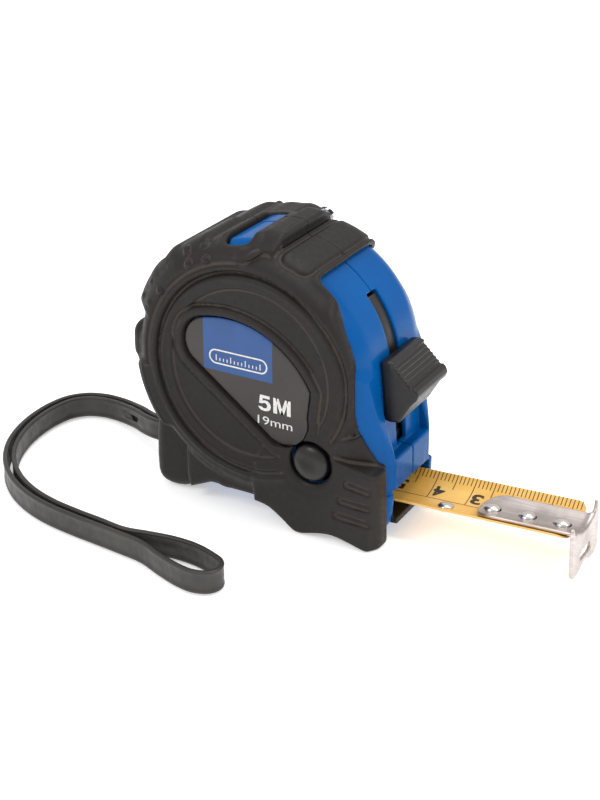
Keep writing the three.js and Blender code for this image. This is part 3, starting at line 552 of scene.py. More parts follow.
def case_outer(g, side, grow=0.0):
    x, a, w = g.x, g.a, g.w
    rr = np.sqrt(x * x + w * w)
    plan = np.interp(x.ravel(), PLAN[:, 0], PLAN[:, 1])[:, None, None].astype(np.float32) + grow
    foot = np.interp(x.ravel(), NOSE_FOOT[:, 0], NOSE_FOOT[:, 1])[:, None, None].astype(np.float32) + grow
    R = 28.7 + grow
    if side < 0:
        d = drum(rr, a, R, np.minimum(17.8 + grow, plan), 3.6, 5.3)
    else:
        low = sstep(8, 38, angle(x, w))
        d = drum(rr, a, R, np.minimum(17.4 + grow + 0.4 * (1 - low), plan + 0.7 * sstep(-20, -17, w)), 3.6 + 3.8 * low, 5.3 + 1.5 * low)
    # a soft crease where the flat front turns into the shoulder
    d = smax(d, (rr - R) * 0.93 + (a - (12.4 + grow)) * 0.38, 0.5)
    nose2 = poly(x, w, chaikin([[14, 5], [27.8, 4.0], [29.2, -0.5], [30.0, -5], [31.6, -11], [33.2, -15.6], [34.0, -18.6], [34.0, -35.4], [30, -36.4], [14, -36.4]], 2)) - grow
    upper = slabd(nose2, a - plan, 0.5)
    lower = slabd(np.maximum(nose2, w + 27.4), a - foot, 0.5)
    nose = smin(upper, lower, 0.8)
    d = smin(d, np.maximum(nose, -x + 15), 2.6)
    chin = poly(x, w, [[8, 6], [28, -4], [30.6, -12], [31.4, -17], [31.4, -34.2], [28, -35], [14, -35], [8, -31.4], [-9, -31.4], [-15, -27], [-12, 0]]) - grow
    d = smin(d, slabd(chin, a - np.minimum(16.5 + grow, plan), 0.6), 0.8)
    keel = poly(x, w, [[-29.2, -24], [-29.2, -35.4], [-27.6, -37.3], [29.4, -37.3], [31.0, -36.2], [31.0, -24]]) - grow
    d = np.minimum(d, slabd(keel, a - np.minimum(11.0 + grow, foot), 0.4))
    for i, (lx, lw) in enumerate(LUGS):
        r = (2.5, 3.0, 2.4)[i] + grow
        d = np.minimum(d, slabd(np.sqrt((x - lx) ** 2 + (w - lw) ** 2) - r, a - 13.2 - grow, 0.3))
    rb = np.sqrt((x - BUTTON[0]) ** 2 + (w - BUTTON[1]) ** 2)
    d = np.minimum(d, slabd(rb - 7.9 - grow, a - 17.8 - grow, 0.3))
    return d


def case_half(side):
    g = Grid((-36.0, 36.0), (-3 * H, 18.9), (-38.6, 34.0), H)
    x, a, w = g.x, g.a, g.w
    rr = np.sqrt(x * x + w * w)
    d = case_outer(g, side)
    # the blue shows high in the two windows of the grip
    th = angle(x, w)
    for tm, hw, half, r1 in ((99.4, 5.8, 16.4 if side < 0 else 6.2, 31.4), (137.2, 2.9, 15.6, 31.2)):
        pad = slabd(np.maximum(np.maximum(27 - rr, rr - (r1 - 2.2 * sstep(12.5, 16.5, a))), rr * np.radians(np.abs(th - tm) - hw)), a - half, 0.8)
        d = smin(d, pad, 0.6)
    # seam chamfer on the middle plane
    d = smax(d, 0.07 - a, 0.12)
    # reel chamber and blade channel
    d = smax(d, -slabd(rr - 26.6, a - 16.2, 2.4), 0.3)
    chin = poly(x, w, [[10, 0], [26.5, -4], [28.8, -11], [29.6, -17], [29.6, -32.4], [27.5, -33.2], [14.7, -33.2], [8.8, -29.6], [-8.6, -29.6], [-13.4, -25.8], [-10, 0]])
    plan = np.interp(x.ravel(), PLAN[:, 0], PLAN[:, 1])[:, None, None].astype(np.float32)
    d = np.maximum(d, -slabd(chin, a - np.minimum(14.8, plan - 2.6), 0.3))
    chan = np.maximum(np.abs(x - 6) - 33.4, np.abs(w + 31.3) - 4.6)
    d = smax(d, -np.maximum(chan, a - 9.7), 0.35)
    # the channel of the lock slider
    rec = poly(x, w, [[28.35, 9.4], [30.6, 10.0], [40, 10.0], [40, -18.2], [31.0, -18.7]])
    d = smax(d, -slabd(rec, a - 9.1, 0.35), 0.55)
    # slot for the lock's leg
    th = angle(x, w)
    slot = np.maximum(np.abs(rr - 28) - 4.2, rr * np.radians(np.abs(th - 17) - 23.3))
    slot = np.minimum(slot, np.maximum(np.abs(x - 28.5) - 4.5, np.abs(w + 8.2) - 10.2))
    d = smax(d, -np.maximum(slot, a - 2.35), 0.3)
    rb = np.sqrt((x - BUTTON[0]) ** 2 + (w - BUTTON[1]) ** 2)
    if side < 0:
        d = smax(d, -np.maximum(rb - 5.45, 13.5 - a), 0.3)
        d = np.maximum(d, -np.maximum(rb - 6.9, np.abs(a - 13.5) - 2.5))
    d = np.maximum(d, -(np.maximum(np.maximum(np.abs(x + 30) - 6, a - 3.2), np.abs(w + 30.4) - 5.2)))
    d = np.minimum(d, np.maximum(rr - 5, np.abs(a - 14.8) - 2.2))
    d = np.maximum(d, -np.maximum(rr - 2.9, (a - 16.1) if side < 0 else (a - 30)))
    if side > 0:
        d = np.maximum(d, -np.maximum(rr - 4.2, 15.6 - a))
        for lx, lw in LUGS:
            rl = np.sqrt((x - lx) ** 2 + (w - lw) ** 2)
            d = np.maximum(d, -np.minimum(rl - 1.5, np.maximum(rl - 2.7, 11.6 - a)))
        d = np.maximum(d, -np.maximum(np.sqrt(x * x + (w - 18.8) ** 2) - 1.5, 15 - a))
    n = "near" if side < 0 else "far"
    return field_piece("case_shell_" + n, d, g, M["blue"], "case", "case_" + n, side, smooth=1)


BARE = [[34, 44], [24.6, 31.0], [21.2, 27.4], [20.4, 25.6], [20.5, 23.8], [20.9, 21.7], [22.1, 17.9], [23.7, 14.5], [25.2, 11.1], [26.2, 7.6], [26.7, 3.6], [26.8, -0.5], [26.85, -5.3],
        [27.5, -9.3], [28.7, -12.6], [30.1, -15.6], [31.4, -18.2], [32.2, -18.9], [34.6, -19.3], [34.6, -60], [60, -60], [60, 44]]
BARE_FAR = [[24, 44], [17.2, 28], [15.2, 24.6], [13, 21], [12.5, 17], [14.5, 12], [17, 6], [18.5, 0], [18.5, -6], [20, -12], [24, -16.2], [30, -17.4], [34.6, -17.6], [34.6, -60], [60, -60], [60, 44]]
SCURVE = [(-1.2, 27.7), (0.8, 28.4), (2.2, 29.6), (3.4, 31.0), (4.6, 33.0), (6.5, 37.5)]
FRONT_FOOT = [[4, -14], [26, -12], [29.4, -9.5], [31.6, -12.6], [33.3, -16.1], [33.6, -19.0], [34.2, -36.9], [34.1, -38.4], [33.5, -38.88], [31.2, -38.88], [29.2, -38.4], [26.9, -37.8], [24.5, -37.3], [22.5, -37.1],
              [20.4, -37.2], [18.2, -37.6], [16, -38.2], [14.2, -38.7], [12.6, -38.7], [11.2, -38.0], [9.4, -36.5], [7.1, -34.9], [4.6, -33.5], [0, -33.0]]
UNDER = [[8, -20], [8, -33.3], [-6, -33.1], [-8.5, -33.4], [-11.5, -32.5], [-16, -34.6], [-19.5, -36.2], [-19.5, -20]]
REAR_FOOT = [[-16, -18], [-28.6, -14], [-30.6, -22], [-31, -34.2], [-30.2, -37.2], [-27.8, -38.8], [-23.4, -38.8], [-20.4, -37.6], [-16, -35.0], [-10, -32.6], [-6, -20]]
BUMPS = [[-12.7, -17.17, 28.79], [-10.51, -20.25, 26.94], [-17.57, -17.04, 27.14], [-16.89, -17.75, 26.14], [-15.48, -19.99, 24.98], [-26.92, -17.79, 17.47], [-23.32, -20.33, 16.88], [-26.61, -19.84, 12.89], [-21.15, -18.45, 22.34], [-29.47, -17.73, 13.36]]


def jacket_half(side):
    g = Grid((-37.6, 35.2), (-3 * H, 21.6), (-39.6, 36.4), H)
    x, a, w = g.x, g.a, g.w
    near = side < 0
    rr = np.sqrt(x * x + w * w)
    th = angle(x, w)
    plan = np.interp(x.ravel(), PLAN[:, 0], PLAN[:, 1])[:, None, None].astype(np.float32) + 1.9
    # -------- shallow relief of the side face, depth in mm
    T = poly(x, w, label_outline())
    rb = np.sqrt((x - BUTTON[0]) ** 2 + (w - BUTTON[1]) ** 2)
    ringmask = 1 - sstep(-72, -60, th) * (1 - sstep(-38, -26, th))
    ringmask = ringmask * (1 - 0.45 * sstep(62, 40, th))
    rel = 0.62 * sstep(21.7, 21.0, rr)                                    # dished middle
    rel = rel + 1.15 * np.exp(-(((rr - 25.15) / 0.5) ** 2)) * ringmask     # groove round the disc
    rel = rel - 0.38 * np.exp(-(((rr - 26.45) / 0.6) ** 2)) * ringmask
    rear_step = sstep(170, 190, th) * sstep(262, 240, th)
    rel = rel + 0.7 * sstep(30.5, 31.3, rr) * rear_step - 0.3 * np.exp(-(((rr - 30.2) / 0.5) ** 2)) * rear_step
    rel = rel - 0.3 * np.exp(-(((rr - 23.7) / 0.6) ** 2)) * ringmask
    rim = sstep(3.0, 1.9, T) * sstep(0.15, 0.75, T)
    rel = rel - 0.62 * rim                                                # rim round the badge
    rel = rel + 0.5 * np.exp(-(((T - 3.0) / 0.35) ** 2))
    rel = rel + 0.7 * sstep(0.5, 0.0, T)
    if near:
        rel = rel * (1 - sstep(9.4, 7.4, rb)) + sstep(9.4, 7.4, rb) * 0.12
        rel = rel + 0.75 * sstep(6.7, 5.2, rb)                             # countersink of the button
    # the foot block stands proud below a ledge, with three open-ended grooves
    ledge = (w - (-17.4 - 0.215 * (x - 26.1)))
    block = sstep(0.25, -0.35, ledge) * sstep(18.5, 27.0, x)
    rel = rel - 0.15 * block + 0.3 * np.exp(-(((ledge - 0.6) / 0.4) ** 2)) * sstep(21, 25, x)
    for (x0, w0, x1, w1) in ((26.6, -22.1, 33.4, -22.9), (25.0, -26.8, 33.4, -27.1), (23.8, -31.0, 33.2, -31.4)):
        c = line_dist(x, w, [(x0, w0), (x1, w1)])
        rel = rel + 0.8 * sstep(1.25, 0.85, c)
    # -------- body of the grip: thin over the front, thick round the lower rear
    front = sstep(97, 90, th) * sstep(-95, -70, th)
    rear = sstep(183, 189, th) * sstep(222, 214, th)
    R = 31.4 - 1.2 * front + 3.1 * rear + 1.2 * sstep(120, 130, th) * sstep(162, 158, th)
    if near:
        upper = sstep(-0.35, 0.35, ledge)
        Yf = np.minimum(20.0, plan) * upper + 20.0 * (1 - upper)
        d = drum(rr, a, R, Yf - rel, 3.8 + 0.8 * front, 6.8 + 1.0 * front)
        d = smax(d, (rr - R) * 0.93 + (a - 13.2) * 0.38 - 8 * (1 - front), 0.6)
    else:
        Yf = np.minimum(20.0 - 1.4 * front, plan)
        d = drum(rr, a, R, Yf - rel * (1 - 0.6 * front), 3.8 + 4.2 * front, 6.8 + 1.8 * front)
    # step of the thick lower rear on the side face, set to zero depth so it has no effect
    d = d - 0.0 * rear
    # tall lip that runs along the front edge of the grip
    if near:
        edge = poly(x, w, BARE)
    else:
        edge = poly(x, w, BARE_FAR)
    topcut = smax(rr * np.radians(th - 58.3), a - 14.6, 2.6)
    topcut = np.where((x > 8) & (w > 4), topcut, 9.0)
    edge = smin(edge, topcut, 0.6)
    d = d - 0.34 * np.exp(-((np.maximum(edge, 0) / 1.5) ** 4)) * (sstep(-19, -16, w) if near else 1.0)
    # band with the finger humps, with its S-shaped end beside the ridge
    band2 = [(28.0 * math.cos(math.radians(t)), 28.0 * math.sin(math.radians(t))) for t in np.linspace(187, 95, 30)]
    band2 = band2 + SCURVE + [(6.5, 46), (-46, 46), (-46, -3.4)]
    db = poly(x, w, band2)
    band = smax(drum(rr, a, R + 0.6 * sstep(99, 108, th), 20.6, 4.4, 7.0), db, 0.6)
    d = smin(d, band, 0.3)

    def sector(a0, a1, r0, r1):
        tm, hw = (a0 + a1) / 2, (a1 - a0) / 2
        return np.maximum(np.maximum(r0 - rr, rr - r1), rr * np.radians(np.abs(th - tm) - hw))

    # finger humps, the rear lobe and the ridge behind the panel
    for a0, a1, r1, half in ((113.0, 129.0, 33.5 if side > 0 else 34.0, 17.2), (129.0, 143.5, 34.9, 17.6), (142.5, 161.5, 34.9, 17.8)):
        h = drum(rr, a, r1, half, 2.6, 4.6)
        h = smax(h, rr * np.radians(np.abs(th - (a0 + a1) / 2) - (a1 - a0) / 2), 2.0)
        h = np.maximum(h, 26 - rr)
        d = smin(d, h, 1.5)
    h = smax(drum(rr, a, 35.2, 18.0, 3.0, 5.0), rr * np.radians(np.abs(th - 179.0) - 8.6), 3.0)
    d = smin(d, np.maximum(h, 26 - rr), 1.0)
    ridge = smax(rr - 33.3, (rr - 33.3) * 0.86 + (a - (11.2 if near else 8.2)) * 0.51, 0.8)
    ridge = smax(ridge, rr * np.radians(np.abs(th - 85.6) - 4.6), 1.0)
    ridge = np.maximum(ridge, np.maximum(26 - rr, a - 15.8))
    d = smin(d, ridge, 0.9)
    # raised panel on the front of the top, round ended, with a fine line round it
    pa = rr * np.radians(th - 69.8)
    pr = np.sqrt(np.maximum(np.abs(pa) - 1.4, 0) ** 2 + np.maximum(a - 13.6, 0) ** 2) - 2.6
    d = d - 0.34 * sstep(0.2, -0.3, pr) * sstep(25, 26.5, rr) + 0.34 * np.exp(-(((pr - 0.4) / 0.34) ** 2)) * sstep(25, 26.5, rr)
    # raised collar round the big window: its near end is a wide U, its far end is low
    arc = rr * np.radians(th - 99.4)
    hw0 = 13.6 if near else 3.2
    wr = np.sqrt(np.maximum(np.abs(arc) - 0.5, 0) ** 2 + np.maximum(a - hw0, 0) ** 2)
    rc = 32.9 - (2.4 * sstep(12, 17.5, a) if near else 1.6 * sstep(3, 8, a))
    collar = slabd(np.maximum(wr - 5.0, 27 - rr), rr - rc, 0.9)
    d = smin(d, collar, 1.0)
    # feet and the closed underside
    footY = (20.0 - rel) if near else np.minimum(20.0, plan - 0.2) - rel
    ff = poly(x, w, chaikin(FRONT_FOOT, 1))
    if near:
        ff = smax(ff, ledge - 0.1, 0.5)
    else:
        ff = np.maximum(ff, x - 32.2)
    foot = slabd(ff, np.maximum(a - footY, 12.95 - a), 0.9)
    if near:
        over = slabd(np.maximum(poly(x, w, chaikin(FRONT_FOOT, 1)), x - 32.6), np.maximum(a - np.minimum(20.0, plan) + rel, 11.5 - a), 0.5)
        foot = smin(foot, over, 0.4)
    if near:
        foot = smax(foot, (x - 31.6) * 0.80 + (a - 18.0) * 0.60 - 1.5, 0.8)
    d = smin(d, foot, 0.7)
    d = smin(d, slabd(poly(x, w, chaikin(UNDER, 1)), a - 18.6, 1.8), 1.0)
    d = smin(d, slabd(poly(x, w, chaikin(REAR_FOOT, 1)), a - 15.6, 3.2), 1.2)
    # the grip always covers the case wherever it isn't cut away
    skin = np.maximum(np.maximum(case_outer(g, side, 0.5), x - 33.4), 11.8 - a)
    d = np.minimum(d, skin)
    # small moulded pips on the humps
    for bx, by, bw in BUMPS:
        q = np.sqrt((x - bx) ** 2 + (a + by) ** 2 + (w - bw) ** 2) - 0.95
        d = smin(d, q, 0.45)
    # -------- cuts
    d = np.maximum(d, -(case_outer(g, side, 0.07)))
    d = smax(d, -edge, 0.7)
    win = np.maximum(wr - 2.9, 28.4 - rr)
    d = smax(d, -win, 0.9)
    arc2 = rr * np.radians(th - 137.2)
    wr2 = np.sqrt(np.maximum(np.abs(arc2) - 0.3, 0) ** 2 + np.maximum(a - 14.2, 0) ** 2)
    d = smax(d, -np.maximum(wr2 - 1.6, 28.4 - rr), 0.8)
    d = smax(d, -np.maximum(T, 16 - a), 0.12)
    if near:
        d = smax(d, -np.maximum(rb - 5.45, 15 - a), 0.3)
    else:
        for lx, lw in LUGS:
            d = smax(d, -np.maximum(np.sqrt((x - lx) ** 2 + (w - lw) ** 2) - 2.7, 11 - a), 0.3)
        d = np.maximum(d, -np.maximum(np.sqrt(x * x + (w - 18.8) ** 2) - 1.5, 15 - a))
    d = smax(d, -(np.maximum(np.maximum(np.abs(x + 32) - 8, a - 3.4), np.abs(w + 30.4) - 5.4)), 0.6)
    d = np.maximum(d, (0.0 if near else -0.12) - a)
    n = "near" if near else "far"
    return field_piece("grip_" + n, d, g, M["rubber"], "case", "jacket_" + n, side, smooth=1)


case_half(-1)
case_half(1)
jacket_half(-1)
jacket_half(1)

# ------------------------------------------------------------------ badges
for side in (-1, 1):
    hb = H * 0.8
    g = Grid((-18.6, 17.0), (17.6, 20.2), (-17.6, 14.0), hb)
    T = poly(g.x, g.w, label_outline(-0.14))
    crown = 19.34 - 0.10 * np.exp(-((T / 0.9) ** 2))
    d = slabd(T, np.maximum(g.a - crown, 18.18 - g.a), 0.22)
    field_piece("badge_" + ("near" if side < 0 else "far"), d, g, M["badge"], "case", "label_" + ("near" if side < 0 else "far"), side, smooth=1)


def flat_print(name, polys, y, material, body, slot, holes=None):
    """Thin printed shapes on a side face: polygons in (x, w)."""
    V, F = [], []
    for p in polys:
        b = len(V)
        V += [(q[0], y, q[1]) for q in p]
        F.append(list(range(b, b + len(p))))
    return mesh_object(name, to_part(V), F, material, body, None, smooth=False)


def text_mesh(body_text, size, bold=0.0, spacing=1.0):
    """Outline of generic figures from Blender's own font, as flat vertices and triangles about their lower left corner."""
    c = bpy.data.curves.new("glyph", "FONT")
    c.body = body_text
    c.size = size
    c.offset = bold
    c.space_character = spacing
    c.fill_mode = "FRONT"
    c.resolution_u = 6
    o = bpy.data.objects.new("glyph", c)
    scene.collection.objects.link(o)
    bpy.context.view_layer.update()
    dg = bpy.context.evaluated_depsgraph_get()
    me = bpy.data.meshes.new_from_object(o.evaluated_get(dg))
    V = np.array([v.co[:] for v in me.vertices])
    F = [list(p.vertices) for p in me.polygons]
    bpy.data.objects.remove(o)
    bpy.data.curves.remove(c)
    bpy.data.meshes.remove(me)
    V[:, :2] -= V[:, :2].min(0)
    return V, F


def label_text(name, s, x0, w0, width, height, bold, slant=0.0):
    V, F = text_mesh(s, 10.0, bold)
    V = V.copy()
    V[:, 0] *= width / V[:, 0].max()
    V[:, 1] *= height / V[:, 1].max()
    P = np.stack([x0 + V[:, 0], np.full(len(V), -19.385), w0 + V[:, 1]], 1)
    return mesh_object(name, to_part(P), F, M["print"], "case", None, smooth=False)


FIVE = [(0.0, 0.95), (0.95, 0.95), (1.15, 0.72), (1.6, 0.62), (2.1, 0.72), (2.35, 1.15), (2.3, 1.65), (1.95, 2.0), (1.45, 2.02), (1.05, 1.8), (0.2, 1.8), (0.5, 4.0), (3.05, 4.0), (3.05, 3.22), (1.25, 3.22),
        (1.15, 2.55), (1.75, 2.75), (2.5, 2.65), (3.1, 2.2), (3.38, 1.4), (3.2, 0.6), (2.6, 0.1), (1.75, -0.08), (0.85, 0.02), (0.25, 0.42)]
EM = [[(4.0, 0), (5.0, 0), (5.0, 4), (4.0, 4)], [(7.6, 0), (8.6, 0), (8.6, 4), (7.6, 4)], [(4.6, 4), (5.45, 4), (6.75, 0), (5.85, 0)], [(8.0, 4), (7.15, 4), (5.85, 0), (6.75, 0)]]


def ear_cut(p):
    """Triangles of a simple outline."""
    idx = list(range(len(p)))
    if sum(p[i][0] * p[i - 1][1] - p[i - 1][0] * p[i][1] for i in idx) > 0:
        idx.reverse()
    cr = lambda a, b, c: (p[b][0] - p[a][0]) * (p[c][1] - p[a][1]) - (p[b][1] - p[a][1]) * (p[c][0] - p[a][0])
    out = []
    guard = 0
    while len(idx) > 3 and guard < 500:
        guard += 1
        for n_ in range(len(idx)):
            a_, b_, c_ = idx[n_ - 1], idx[n_], idx[(n_ + 1) % len(idx)]
            if cr(a_, b_, c_) <= 1e-9:
                continue
            if any(cr(a_, b_, q) >= 0 and cr(b_, c_, q) >= 0 and cr(c_, a_, q) >= 0 for q in idx if q not in (a_, b_, c_)):
                continue
            out.append([a_, b_, c_])
            idx.pop(n_)
            break
    out.append(idx)
    return out


V, F = [], []
for shape in [FIVE] + EM:
    b = len(V)
    V += [(2.5 + q[0] * 1.02, -19.385, -8.4 + q[1]) for q in shape]
    F += [[b + i for i in f] for f in ear_cut(shape)]
mesh_object("print_length", to_part(V), F, M["print"], "case", None, smooth=False)
label_text("print_width", "19mm", 2.3, -12.0, 9.4, 2.15, 0.0)


def stadium(cx, cw, hl, r, n=14):
    p = []
    for s0, a0 in ((1, -90), (-1, 90)):
        for i in range(n + 1):
            t = math.radians(a0 + 180 * i / n)
            p.append((cx + s0 * (hl - r) + r * math.cos(t), cw + r * math.sin(t)))
    return p


# a plain lozenge outline with rule marks inside, in place of any name
outer, inner = stadium(-2.9, 2.75, 8.0, 1.9), stadium(-2.9, 2.75, 7.62, 1.52)
V = [(p[0], -19.385, p[1]) for p in outer] + [(p[0], -19.385, p[1]) for p in inner]
n = len(outer)
F = [[i, (i + 1) % n, n + (i + 1) % n, n + i] for i in range(n)]
for i in range(13):
    x = -8.9 + i * 1.0
    h = 1.5 if i % 4 == 0 else 0.8
    b = len(V)
    V += [(x - 0.13, -19.385, 1.75), (x + 0.13, -19.385, 1.75), (x + 0.13, -19.385, 1.75 + h), (x - 0.13, -19.385, 1.75 + h)]
    F.append([b, b + 1, b + 2, b + 3])
mesh_object("print_lozenge", to_part(V), F, M["print"], "case", None, smooth=False)

# ------------------------------------------------------------------ side button
prof = [(0.001, 20.95), (0.8, 20.93), (1.6, 20.85), (2.4, 20.7), (3.1, 20.48), (3.7, 20.2), (4.2, 19.85), (4.52, 19.45), (4.66, 19.05), (4.7, 18.6), (4.7, 15.4), (6.4, 15.3), (6.4, 14.4), (0.001, 14.4)]
lathe("push_button", prof, BUTTON, M["rubber_dark"], "button", "brake_button", side=-1)

# ------------------------------------------------------------------ thumb lock
hs = H * 0.7
g = Grid((24.8, 39.6), (-9.4, 9.4), (-17.2, 7.2), hs)
x, a, w = g.x, g.a, g.w
side_pts = [[28.75, 5.3], [30.6, 5.75], [32.0, 5.45], [33.6, 4.1], [35.4, 2.35], [37.0, 0.75], [38.1, -0.35], [38.55, -1.5], [38.1, -2.7], [36.7, -4.3], [35.2, -6.9], [33.9, -9.2], [31.6, -9.6], [30.2, -9.4]]
d2 = poly(x, w, side_pts)
for i in range(6):
    t = 0.115 + i * 0.135
    cx, cw = 32.0 + (38.1 - 32.0) * t, 5.5 + (-0.35 - 5.5) * t
    cx, cw = cx - 0.05, cw - 0.05
    d2 = smax(d2, -(np.sqrt((x - cx) ** 2 + (w - cw) ** 2) - 0.56), 0.12)
d = slabd(d2, np.abs(a) - 8.45, 0.55)
leg = poly(x, w, [[28.2, 1.2], [31.5, 1.2], [31.5, -6.6], [28.9, -6.6], [28.9, -16.4], [25.7, -16.4], [25.7, -5], [27.4, -3]])
d = smin(d, slabd(leg, np.abs(a) - 1.9, 0.2), 0.3)
field_piece("thumb_lock", d, g, M["rubber_dark"], "lock", "lock_slider", 0, smooth=1)

# dark strip that fills the slot above the lock
V, F = [], []
NA = 40
for i in range(NA + 1):
    t = math.radians(4.6 + (38.7 - 4.6) * i / NA)
    for y, r in ((-4.0, 25.2), (-4.0, 26.0), (-2.2, 26.1), (-2.2, 27.9), (-1.9, 28.12), (1.9, 28.12), (2.2, 27.9), (2.2, 26.1), (4.0, 26.0), (4.0, 25.2)):
        V.append((r * math.cos(t), y, r * math.sin(t)))
n = 10
for i in range(NA):
    for j in range(n):
        p, q_ = i * n + j, i * n + (j + 1) % n
        F.append([p, p + n, q_ + n, q_])
F.append(list(range(n)))
F.append(list(range(NA * n, NA * n + n))[::-1])
mesh_object("slot_filler", to_part(V), F, M["strip"], "case", "lock_strip")

# black insert in the mouth: a floor and two low cheeks
hb = 0.22
g = Grid((25.5, 35.4), (-10.2, 10.2), (-36.6, -28.4), hb)
x, a, w = g.x, g.a, g.w
floor_d = slabd(np.maximum(np.maximum(28.8 - x, x - 34.55), np.maximum(-35.7 - w, w + 34.0)), np.abs(a) - 9.35, 0.35)
cheek = np.maximum(np.maximum(28.8 - x, x - 33.6), np.maximum(-35.6 - w, w + 29.8))
cheek = slabd(cheek, np.abs(np.abs(a) - 9.3) - 0.16, 0.1)
d = np.minimum(floor_d, cheek)
field_piece("mouth_insert", d, g, M["bumper"], "case", "mouth_bumper", 0, smooth=1)

# ------------------------------------------------------------------ blade
TR, BT, HALF = 13.1, 0.35, 9.5


def on_blade(X, s, off=0.0):
    r = TR - off
    t = np.asarray(s, float) / TR
    X = np.asarray(X, float) + 0 * t
    return np.stack([X, r * np.sin(t), TR - r * np.cos(t)], -1)


Xb = np.concatenate([np.linspace(-60, -5.0, 111), -5.0 + 3.2 * np.sin(np.linspace(0, math.pi / 2, 16))[1:]])
rc = 2.4
smax_x = np.where(Xb > -1.8 - rc, HALF - (rc - np.sqrt(np.maximum(rc * rc - (Xb - (-1.8 - rc)) ** 2, 0))), HALF)
tt = np.linspace(-1, 1, 41)
top = np.stack([on_blade(np.full(41, X), tt * m) for X, m in zip(Xb, smax_x)])
bot = np.stack([on_blade(np.full(41, X), tt * m, -BT) for X, m in zip(Xb, smax_x)])
nx, ns = top.shape[:2]
V = np.vstack([top.reshape(-1, 3), bot.reshape(-1, 3)])
F = []
N = nx * ns
for i in range(nx - 1):
    for j in range(ns - 1):
        p = i * ns + j
        F.append([p, p + ns, p + ns + 1, p + 1])
        F.append([N + p, N + p + 1, N + p + ns + 1, N + p + ns])
    p = i * ns
    F.append([p, N + p, N + p + ns, p + ns])
    p = i * ns + ns - 1
    F.append([p, p + ns, N + p + ns, N + p])
for j in range(ns - 1):
    F.append([j, j + 1, N + j + 1, N + j])
    p = (nx - 1) * ns + j
    F.append([p, N + p, N + p + 1, p + 1])
blade = mesh_object("blade_strip", to_part(blade_to_case(V)), np.array(F), M["blade"], "blade", "blade")
try:
    blade.data.shade_auto_smooth
except AttributeError:
    pass

# printed marks: millimetres, half centimetres and centimetres from the far edge, figures beside each centimetre
V, F = [], []


def strip(X0, X1, s0, s1, ns=8, nX=1, off=0.02):
    b = len(V)
    for i in range(nX + 1):
        X = X0 + (X1 - X0) * i / nX
        for j in range(ns + 1):
            V.append(on_blade(X, s0 + (s1 - s0) * j / ns, off))
    for i in range(nX):
        for j in range(ns):
            p = b + i * (ns + 1) + j
            F.append([p, p + ns + 1, p + ns + 2, p + 1])


for mm in range(3, 60):
    X = -float(mm)
    if mm % 10 == 0:
        strip(X - 0.11, X + 0.11, 0.75, 9.46, 12)
    elif mm % 5 == 0:
        strip(X - 0.11, X + 0.11, 5.05, 9.46)
    else:
        strip(X - 0.11, X + 0.11, 7.2, 9.46, 5)
strip(-60.0, -2.2, 0.66, 0.84, 1, 40)
for cm in range(1, 6):
    gv, gf = text_mesh(str(cm), 10.0, 0.32)
    gw, gh = gv[:, 0].max(), gv[:, 1].max()
    hgt, wid = 3.55, 2.9 if cm != 1 else 1.3
    b = len(V)
    X0 = -10.0 * cm + 0.55
    for q in gv:
        # the figures read from the far side: their right is -X and their top is towards the near edge
        V.append(on_blade(X0 + wid - q[0] / gw * wid, 5.35 - q[1] / gh * hgt, 0.02))
    for f in gf:
        F.append([b + i for i in f])
mesh_object("blade_print", to_part(blade_to_case(np.array(V))), F, M["ink"], "blade", None, smooth=False)


# ------------------------------------------------------------------ end hook
hh = 0.19
g = Grid((-26.6, 2.2), (-9.5, 9.5), (-9.4, 6.0), hh)
x, a, z = g.x, g.a, g.w
q = np.sqrt(a * a + (z - TR) ** 2)
rs = TR - 0.32 - 0.45
sheet = np.abs(q - rs) - 0.42
s = np.arctan2(a, TR - z) * rs
front = x - 0.5
rect = np.sqrt(np.maximum(np.abs(s) - 0.4, 0) ** 2 + np.maximum(-x - 20.2, 0) ** 2) - 5.45
rect = np.maximum(rect, np.maximum(np.abs(s) - 5.85, front))
strip_d = slabd(rect, sheet, 0.18)
strip_d = np.where(z > 8, 5, strip_d)
plate_pts = [[-8.5, -7.2], [-7.7, -8.15], [-5.0, -8.2], [-2.8, -7.7], [-0.6, -6.9], [0.8, -6.9], [2.6, -7.9], [5.6, -8.2], [7.8, -7.4], [8.5, -5.8], [8.5, 4.2], [8.2, 4.8], [7.6, 4.95]]
topc = []
for i in range(21):
    y = -7.1 + 14.2 * i / 20
    topc.append([y, 0.35 + TR - math.sqrt((TR - 0.6) ** 2 - y * y)])
plate_pts += topc[::-1] + [[-7.6, 4.95], [-8.2, 4.8], [-8.5, 4.2]]
p2 = poly(a, z, plate_pts)
slot = np.sqrt(np.maximum(np.abs(a) - 2.3, 0) ** 2 + (z + 4.6) ** 2) - 1.15
p2 = smax(p2, -slot, 0.15)
plate = slabd(p2, np.abs(x - 0.45) - 0.45, 0.22)
# pressed bend between the strip and the plate
d = smin(strip_d, plate, 1.1)
for rx in (-22.4, -13.5, -4.9):
    rq = np.sqrt(np.maximum(np.abs(x - rx) - 0.9, 0) ** 2 + a * a) - 1.2
    d = np.maximum(d, -np.maximum(rq, np.abs(z - 1.0) - 2.5))
field_piece("hook_plate", d, g, M["steel"], "hook", "end_hook", 0, smooth=1, case=False)


